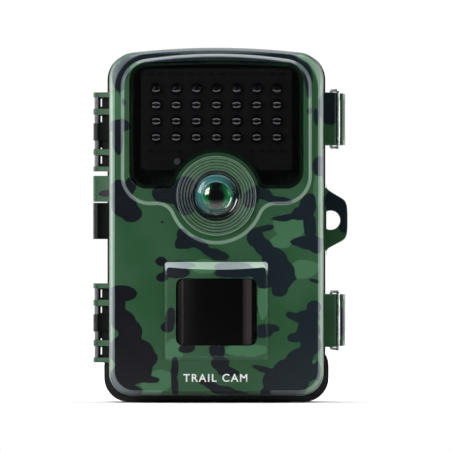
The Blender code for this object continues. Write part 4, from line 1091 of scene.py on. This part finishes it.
def rear_shell():
    steps = [(6.3, 0.0), (22.4, 0.0), (23.2, 0.04), (24.0, 0.13), (28.4, 0.76), (29.2, 0.88)]
    steps += [(29.75, 0.98), (30.0, 1.1)]
    shell = loft("rear_shell", [(y, back_outline(t)) for y, t in steps], camo_round, 25.0)
    tab = [p for p in lug_outline(REAR_W + 0.4) if p[0] > REAR_W]
    lugs = (slab("rear_lug", lug_outline(REAR_W - 1.0), 6.4, 10.5), slab("rear_lug_tab", tab, 0.3, 10.5))
    extra = [soften(lug, 0.3, 3) for lug in lugs]
    arm = arm_outline(LEVER_X, LEVER_Y, 1.7, REAR_W - 1.5, 8.0, 12.0)
    extra += [soften(upright("lever_knuckle", arm, z - 7.2, z + 7.2), 0.2, 2) for z in LATCH_ZS]
    extra.append(rod("socket_boss", (0, SOCKET_Y, 3.0), (0, SOCKET_Y, 11.0), 6.6, sides=64))
    # shallow ribs between the rails stiffen the back
    for z in range(36, 113, 8):
        if not 52 < z < 90:
            extra.append(soften(box("back_rib", -17.0, 17.0, 29.4, 30.7, z - 0.8, z + 0.8), 0.35, 2))
    inner = case_outline(REAR_W, 2.6, REAR_TOP, inset=2.0)
    inner_back = case_outline(34.4, 11.1, 131.4, top_r=7.4, bottom_r=6.4)
    add(shell, *extra)
    cut(
        shell,
        loft("hollow", [(2.0, inner), (22.4, inner), (27.8, inner_back)]),
        rod("socket_bore", (0, SOCKET_Y, -2), (0, SOCKET_Y, 10.2), 4.3, sides=48),
        lock_hole("lock_hole", -3.0, 14.0),
        *[post("pin_bore", LEVER_X, LEVER_Y, z, 12, 1.0) for z in LATCH_ZS],
    )
    rails = []
    for side in (-1, 1):
        x0, x1 = sorted((side * 20.0, side * 27.0))
        rail = soften(box("rail", x0, x1, 29.5, 36.2, 30.0, 112.0, camo_round), 0.5, 3)
        ends = sorted((side * 18.0, side * 29.0))
        cut(rail, soften(box("slot", *ends, 30.4, 35.2, 55.0, 87.0), 0.4, 2))
        maker = Maker(f"rail_teeth_{'left' if side < 0 else 'right'}")
        profile = [(-4.9, 35.6), (-4.6, 36.0), (-0.5, 37.85), (0.0, 38.0), (0.5, 37.85), (4.6, 36.0), (4.9, 35.6)]
        ends = [[(x, y, z) for z, y in profile] for x in (x0 + 0.25, x1 - 0.25)]
        tooth = soften(skin("tooth", ends, camo_round), 0.2, 2, 30.0)
        teeth = scattered(maker, [(0, 0, 30.0 + 10.25 * (i + 0.5)) for i in range(8)], tooth)
        rails.append(join("rail", rail, teeth))
    place(join("rear_shell", shell, *rails), "rear_half", "camo", "rear_case")


def small_metal():
    for label, z in zip(("upper", "lower"), HINGE_ZS):
        pin = post(f"hinge_rod_{label}", HINGE_X, 0, z, 15.6, 1.0, dark_steel, 32, 0.2)
        place(pin, "rear_half", "steel", f"hinge_pin_{label}")
    threads = [(3.9, 2.9), (3.9, 9.7), (3.6, 9.8)]
    for i in range(10):
        z = 9.6 - i * 0.68
        threads += [(3.2, z), (3.45, z - 0.34)]
    threads += [(3.3, 2.85)]
    nut = turned("tripod_insert", threads, (0, SOCKET_Y, 0), (0, 0, 1), brass, 64, 20.0)
    place(nut, "rear_half", "brass", "tripod_nut")


# ================= batteries =================
BAYS = ((13.5, 70.5), (72.5, 129.5))
CELL_Y, CELL_PITCH = 14.4, 15.3


def batteries():
    tray = soften(box("tray", -32.6, 32.6, 6.6, 25.0, 11.5, 131.5, black), 0.5, 2)
    for low, high in BAYS:
        cut(tray, box("bay", -31.2, 31.2, 2.0, 22.6, low, high))
        middles = [c * CELL_PITCH for c in (-1, 0, 1)]
        walls = [round_rect(x - 0.5, x + 0.5, low + 8, high - 8, 0.4) for x in middles]
        add(tray, *[slab("cradle", wall, 18.0, 23.0) for wall in walls])
    place(tray, "rear_half", "black", "battery_tray")
    ups, downs = [], []
    for n in range(8):
        bay, column = divmod(n, 4)
        x, (low, high) = (column - 1.5) * CELL_PITCH, BAYS[bay]
        if (column + bay) % 2 == 0:
            ups.append((x, CELL_Y, low + 5.3))
        else:
            downs.append((x, CELL_Y, high - 5.3))
    can = [(0, 0), (5.6, 0), (5.8, 0.15), (6.6, 0.15), (6.95, 0.3), (7.1, 0.7), (7.1, 48.3), (6.95, 48.8), (6.6, 49.0)]
    can += [(5.6, 49.05), (5.3, 48.85), (2.9, 48.85), (2.75, 49.0), (2.75, 49.9), (2.55, 50.15), (0, 50.2)]
    pieces = []
    for spots, way, paint in ((ups, 1, cell_up), (downs, -1, cell_down)):
        maker = Maker(f"cells_{'up' if way > 0 else 'down'}")
        cell = turned("cell", can, (0, 0, 0), (0, 0, way), paint, 48, 30.0)
        pieces.append(scattered(maker, spots, cell))
    place(join("eight_cells", *pieces), "rear_half", "cell", *[f"battery_cell_{n}" for n in range(1, 9)])
    plates = []
    for bay, (low, high) in enumerate(BAYS):
        for side, wall_z, inward in ((0, low, 1), (1, high, -1)):
            z0, z1 = sorted((wall_z + inward * 0.35, wall_z + inward * 0.75))
            for x in (-CELL_PITCH, CELL_PITCH):
                plate = box("plate", x - 13.4, x + 13.4, 8.2, 20.8, z0, z1, bright_steel)
                plates.append(soften(plate, 0.12, 1))
            springs, studs = [], []
            for column in range(4):
                spot = ((column - 1.5) * CELL_PITCH, CELL_Y, wall_z + inward * 0.75)
                (springs if (column + bay) % 2 == side else studs).append(spot)
            maker = Maker(f"contact_springs_{bay}_{side}")
            sockets = {
                "Resolution": 20,
                "Rotations": maker.input("Turns", "Float", 4.0),
                "Start Radius": maker.input("Wide end", "Float", 4.2 * MM),
                "End Radius": maker.input("Narrow end", "Float", 2.6 * MM),
                "Height": maker.input("Height", "Float", inward * 3.7 * MM),
            }
            coil = maker.node("GeometryNodeCurveSpiral", None, sockets).outputs[0]
            around = maker.node("GeometryNodeCurvePrimitiveCircle", None, {"Resolution": 8, "Radius": 0.35 * MM})
            sockets = {"Curve": coil, "Profile Curve": around.outputs[0], "Fill Caps": True}
            tube = maker.node("GeometryNodeCurveToMesh", None, sockets).outputs[0]
            plates.append(maker.finish(maker.copies(at_points(maker, springs), tube), bright_steel, 60.0))
            button = [(0, 0), (3.4, 0), (3.2, 0.3), (2.4, 0.45), (0, 0.5)]
            stud = turned("stud", button, (0, 0, 0), (0, 0, inward), bright_steel, 28)
            plates.append(scattered(Maker(f"contact_studs_{bay}_{side}"), studs, stud))
    contacts = join("battery_springs_and_plates", *plates)
    place(contacts, "rear_half", "steel", *[f"battery_contacts_{n}" for n in range(1, 5)])


# ================= inside the front half =================
def controls():
    # the four arrow keys stand round the middle one
    key_x, key_z, reach = 14.0, 58.5, 10.5
    keys = {"ok": (key_x, key_z), "up": (key_x, key_z + reach), "down": (key_x, key_z - reach)}
    keys |= {"left": (key_x - reach, key_z), "right": (key_x + reach, key_z), "menu": (-9.5, key_z)}
    for name, (x, z) in keys.items():
        r = 4.0 if name == "ok" else 3.2
        cap = [(0, 0.75), (r * 0.5, 0.65), (r - 0.9, 0.5), (r - 0.7, 0.4), (r - 0.35, 0.42), (r - 0.08, 0.6), (r, 0.9)]
        cap += [(r, 3.6), (r + 1.2, 3.6), (r + 1.2, 4.6), (0, 4.6)]
        key = turned(f"key_{name}", cap, (x, 0, z), (0, -1, 0), key_grey, 48, 40.0)
        place(key, f"button_{name}_body", "key", f"button_{name}")
    knob = soften(box("knob", -29.0, -25.0, -4.4, -0.6, 52.0, 60.0, key_grey), 0.3, 2)
    foot = box("foot", -30.6, -23.4, -5.8, -4.1, 51.0, 61.0, key_grey)
    rib = soften(box("rib", -1.8, 1.8, -0.2, 0.2, -0.3, 0.3, key_grey), 0.12, 1)
    ribs = scattered(Maker("knob_ribs"), [(-27.0, -0.62, 53.0 + 1.2 * i) for i in range(6)], rib)
    place(join("mode_slider", knob, foot, ribs), "mode_switch_body", "key", "mode_switch")
    shank = [(0, 0.5), (2.2, 0.5), (2.5, 0.62), (2.6, 0.85), (1.3, 0.9), (1.3, 7.4), (0, 7.4)]
    screw = turned("screw", shank, (0, 0, 0), (0, -1, 0), dark_steel, 40, 30.0)
    for turn in (0, 90):
        slot_cut = box("cross", -1.6, 1.6, -1.3, 0.5, -0.28, 0.28)
        slot_cut.data.transform(Matrix.Rotation(math.radians(turn), 4, "Y"))
        cut(screw, slot_cut)
    spots = [(x, 0, z) for z in (34.0, 128.0) for x in (-34.5, 34.5)]
    screws = scattered(Maker("cover_screws"), spots, screw, jitter=0.7, seed=5)
    place(screws, "front_half", "steel", *[f"cover_screw_{n}" for n in range(1, 5)])


def lettering(name, words, size, at, spacing, back=False):
    """Printed words, a film's thickness proud of the face."""
    curve = bpy.data.curves.new(name, "FONT")
    curve.body, curve.size, curve.extrude, curve.space_character = words, size, 0.04, spacing
    curve.align_x, curve.align_y, curve.offset = "CENTER", "CENTER", 0.06
    holder = shown(name, curve)
    bpy.context.view_layer.update()
    mesh = bpy.data.meshes.new_from_object(holder.evaluated_get(bpy.context.evaluated_depsgraph_get()))
    bpy.data.objects.remove(holder)
    turn = Matrix.Rotation(math.radians(90), 4, "X")
    if back:
        turn = Matrix.Rotation(math.radians(180), 4, "Z") @ turn
    mesh.transform(Matrix.Scale(MM, 4) @ Matrix.Translation(at) @ turn)
    return shown(name, mesh, print_white)


def markings():
    place(lettering("front_words", "TRAIL CAM", 4.3, (-0.3, FACE_Y - 0.02, 9.5), 1.22), "front_half", None)
    labels = (("MENU", -9.5, 53.0), ("OK", 14.0, 52.6), ("MODE", -27.0, 67.8))
    marks = [lettering("mark", words, 2.6, (x, -1.18, z), 1.05, back=True) for words, x, z in labels]
    place(join("cover_words", *marks), "front_half", None)


lamps()
for label, z in zip(("upper", "lower"), LATCH_ZS):
    latch(label, z)
rear_rim()
rear_shell()
small_metal()
batteries()
controls()
markings()

KEEP = {
    "lens_holder": black, "pir_sensor": dark_steel, "main_board": circuit, "lcd_panel": screen_black,
    "lcd_window": screen_glass, "inner_cover": cover_black, "card_socket": bright_steel, "usb_socket": bright_steel,
    "microphone": dark_steel, "speaker": black, "battery_lead_front": lead_red, "battery_lead_rear": lead_red,
    "sd_card": card_blue, "ir_cut_filter": coating_and_glints,
}  # fmt: skip
for node, paint in KEEP.items():
    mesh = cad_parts[node].data
    mesh.materials.clear()
    mesh.materials.append(paint)


# ================= stage, light and camera =================
FLOOR_REACH, FLOOR_FRONT, FLOOR_Z = 4000.0, -260.0, -0.2


def stage():
    """Plain paper, which glows far back so that it meets the wall without a line."""
    finish = Finish("studio paper", Roughness=0.9, Specular_IOR_Level=0.1, Emission_Strength=1.0)
    fibre = finish.noise(1.2, 4.0, 0.6)
    glow = finish.mix(finish.axes()[1].ramp(300.0, 900.0), linear(0, 0, 0), linear(255, 255, 255))
    finish.set(Base_Color=finish.mix(fibre, linear(236, 236, 236), linear(244, 244, 244)), Emission_Color=glow)
    corners = ((-1, FLOOR_FRONT), (1, FLOOR_FRONT), (1, FLOOR_REACH), (-1, FLOOR_REACH))
    bm = bmesh.new()
    bm.faces.new([bm.verts.new((side * FLOOR_REACH, y, FLOOR_Z)) for side, y in corners])
    finished("studio_floor", bm, finish.material, 60.0)


# Soft boxes, in metres: place, width, height and power. All of them point at the object's middle.
MIDDLE = Vector((0, 0, 0.07))
SOFTBOXES = {
    "left_rim": ((-0.85, 0.55, 0.30), 0.5, 0.9, 5),
    "right_rim": ((0.85, 0.55, 0.30), 0.5, 0.9, 3),
    "overhead": ((0, 0.06, 1.0), 0.9, 0.4, 12),
    "key": ((-0.46, -0.98, 0.32), 0.36, 0.36, 4.4),
    "left_strip": ((-0.95, -0.21, 0.16), 0.26, 0.8, 4.2),
    "right_strip": ((0.95, -0.21, 0.16), 0.26, 0.8, 4.2),
    "fill": ((0.85, -0.8, 0.35), 0.3, 0.4, 1.2),
}
stage()
for name, (at, width, height, power) in SOFTBOXES.items():
    light = bpy.data.lights.new(name, "AREA")
    light.shape, light.size, light.size_y, light.energy = "RECTANGLE", width, height, power
    lamp = shown(name, light)
    lamp.location = at
    lamp.rotation_euler = (MIDDLE - Vector(at)).to_track_quat("-Z", "Y").to_euler()
world = bpy.data.worlds.new("studio air")
bpy.context.scene.world = world
Air(world)

view = bpy.context.scene.view_settings
view.view_transform, view.look = "Standard", "None"

# a long lens, far off, so that the front is drawn nearly flat
DISTANCE, FRAME_WIDTH, SENSOR = 6.0, 0.17877, 36.0
camera = bpy.data.cameras.new("camera")
camera.sensor_width, camera.lens = SENSOR, SENSOR * DISTANCE / FRAME_WIDTH
camera.clip_start, camera.clip_end = 0.05, 30.0
camera_object = shown("camera", camera)
camera_object.location = (0.0038, -DISTANCE - 0.015, 0.0696)
camera_object.rotation_euler = (math.radians(90), 0, 0)
bpy.context.scene.camera = camera_object
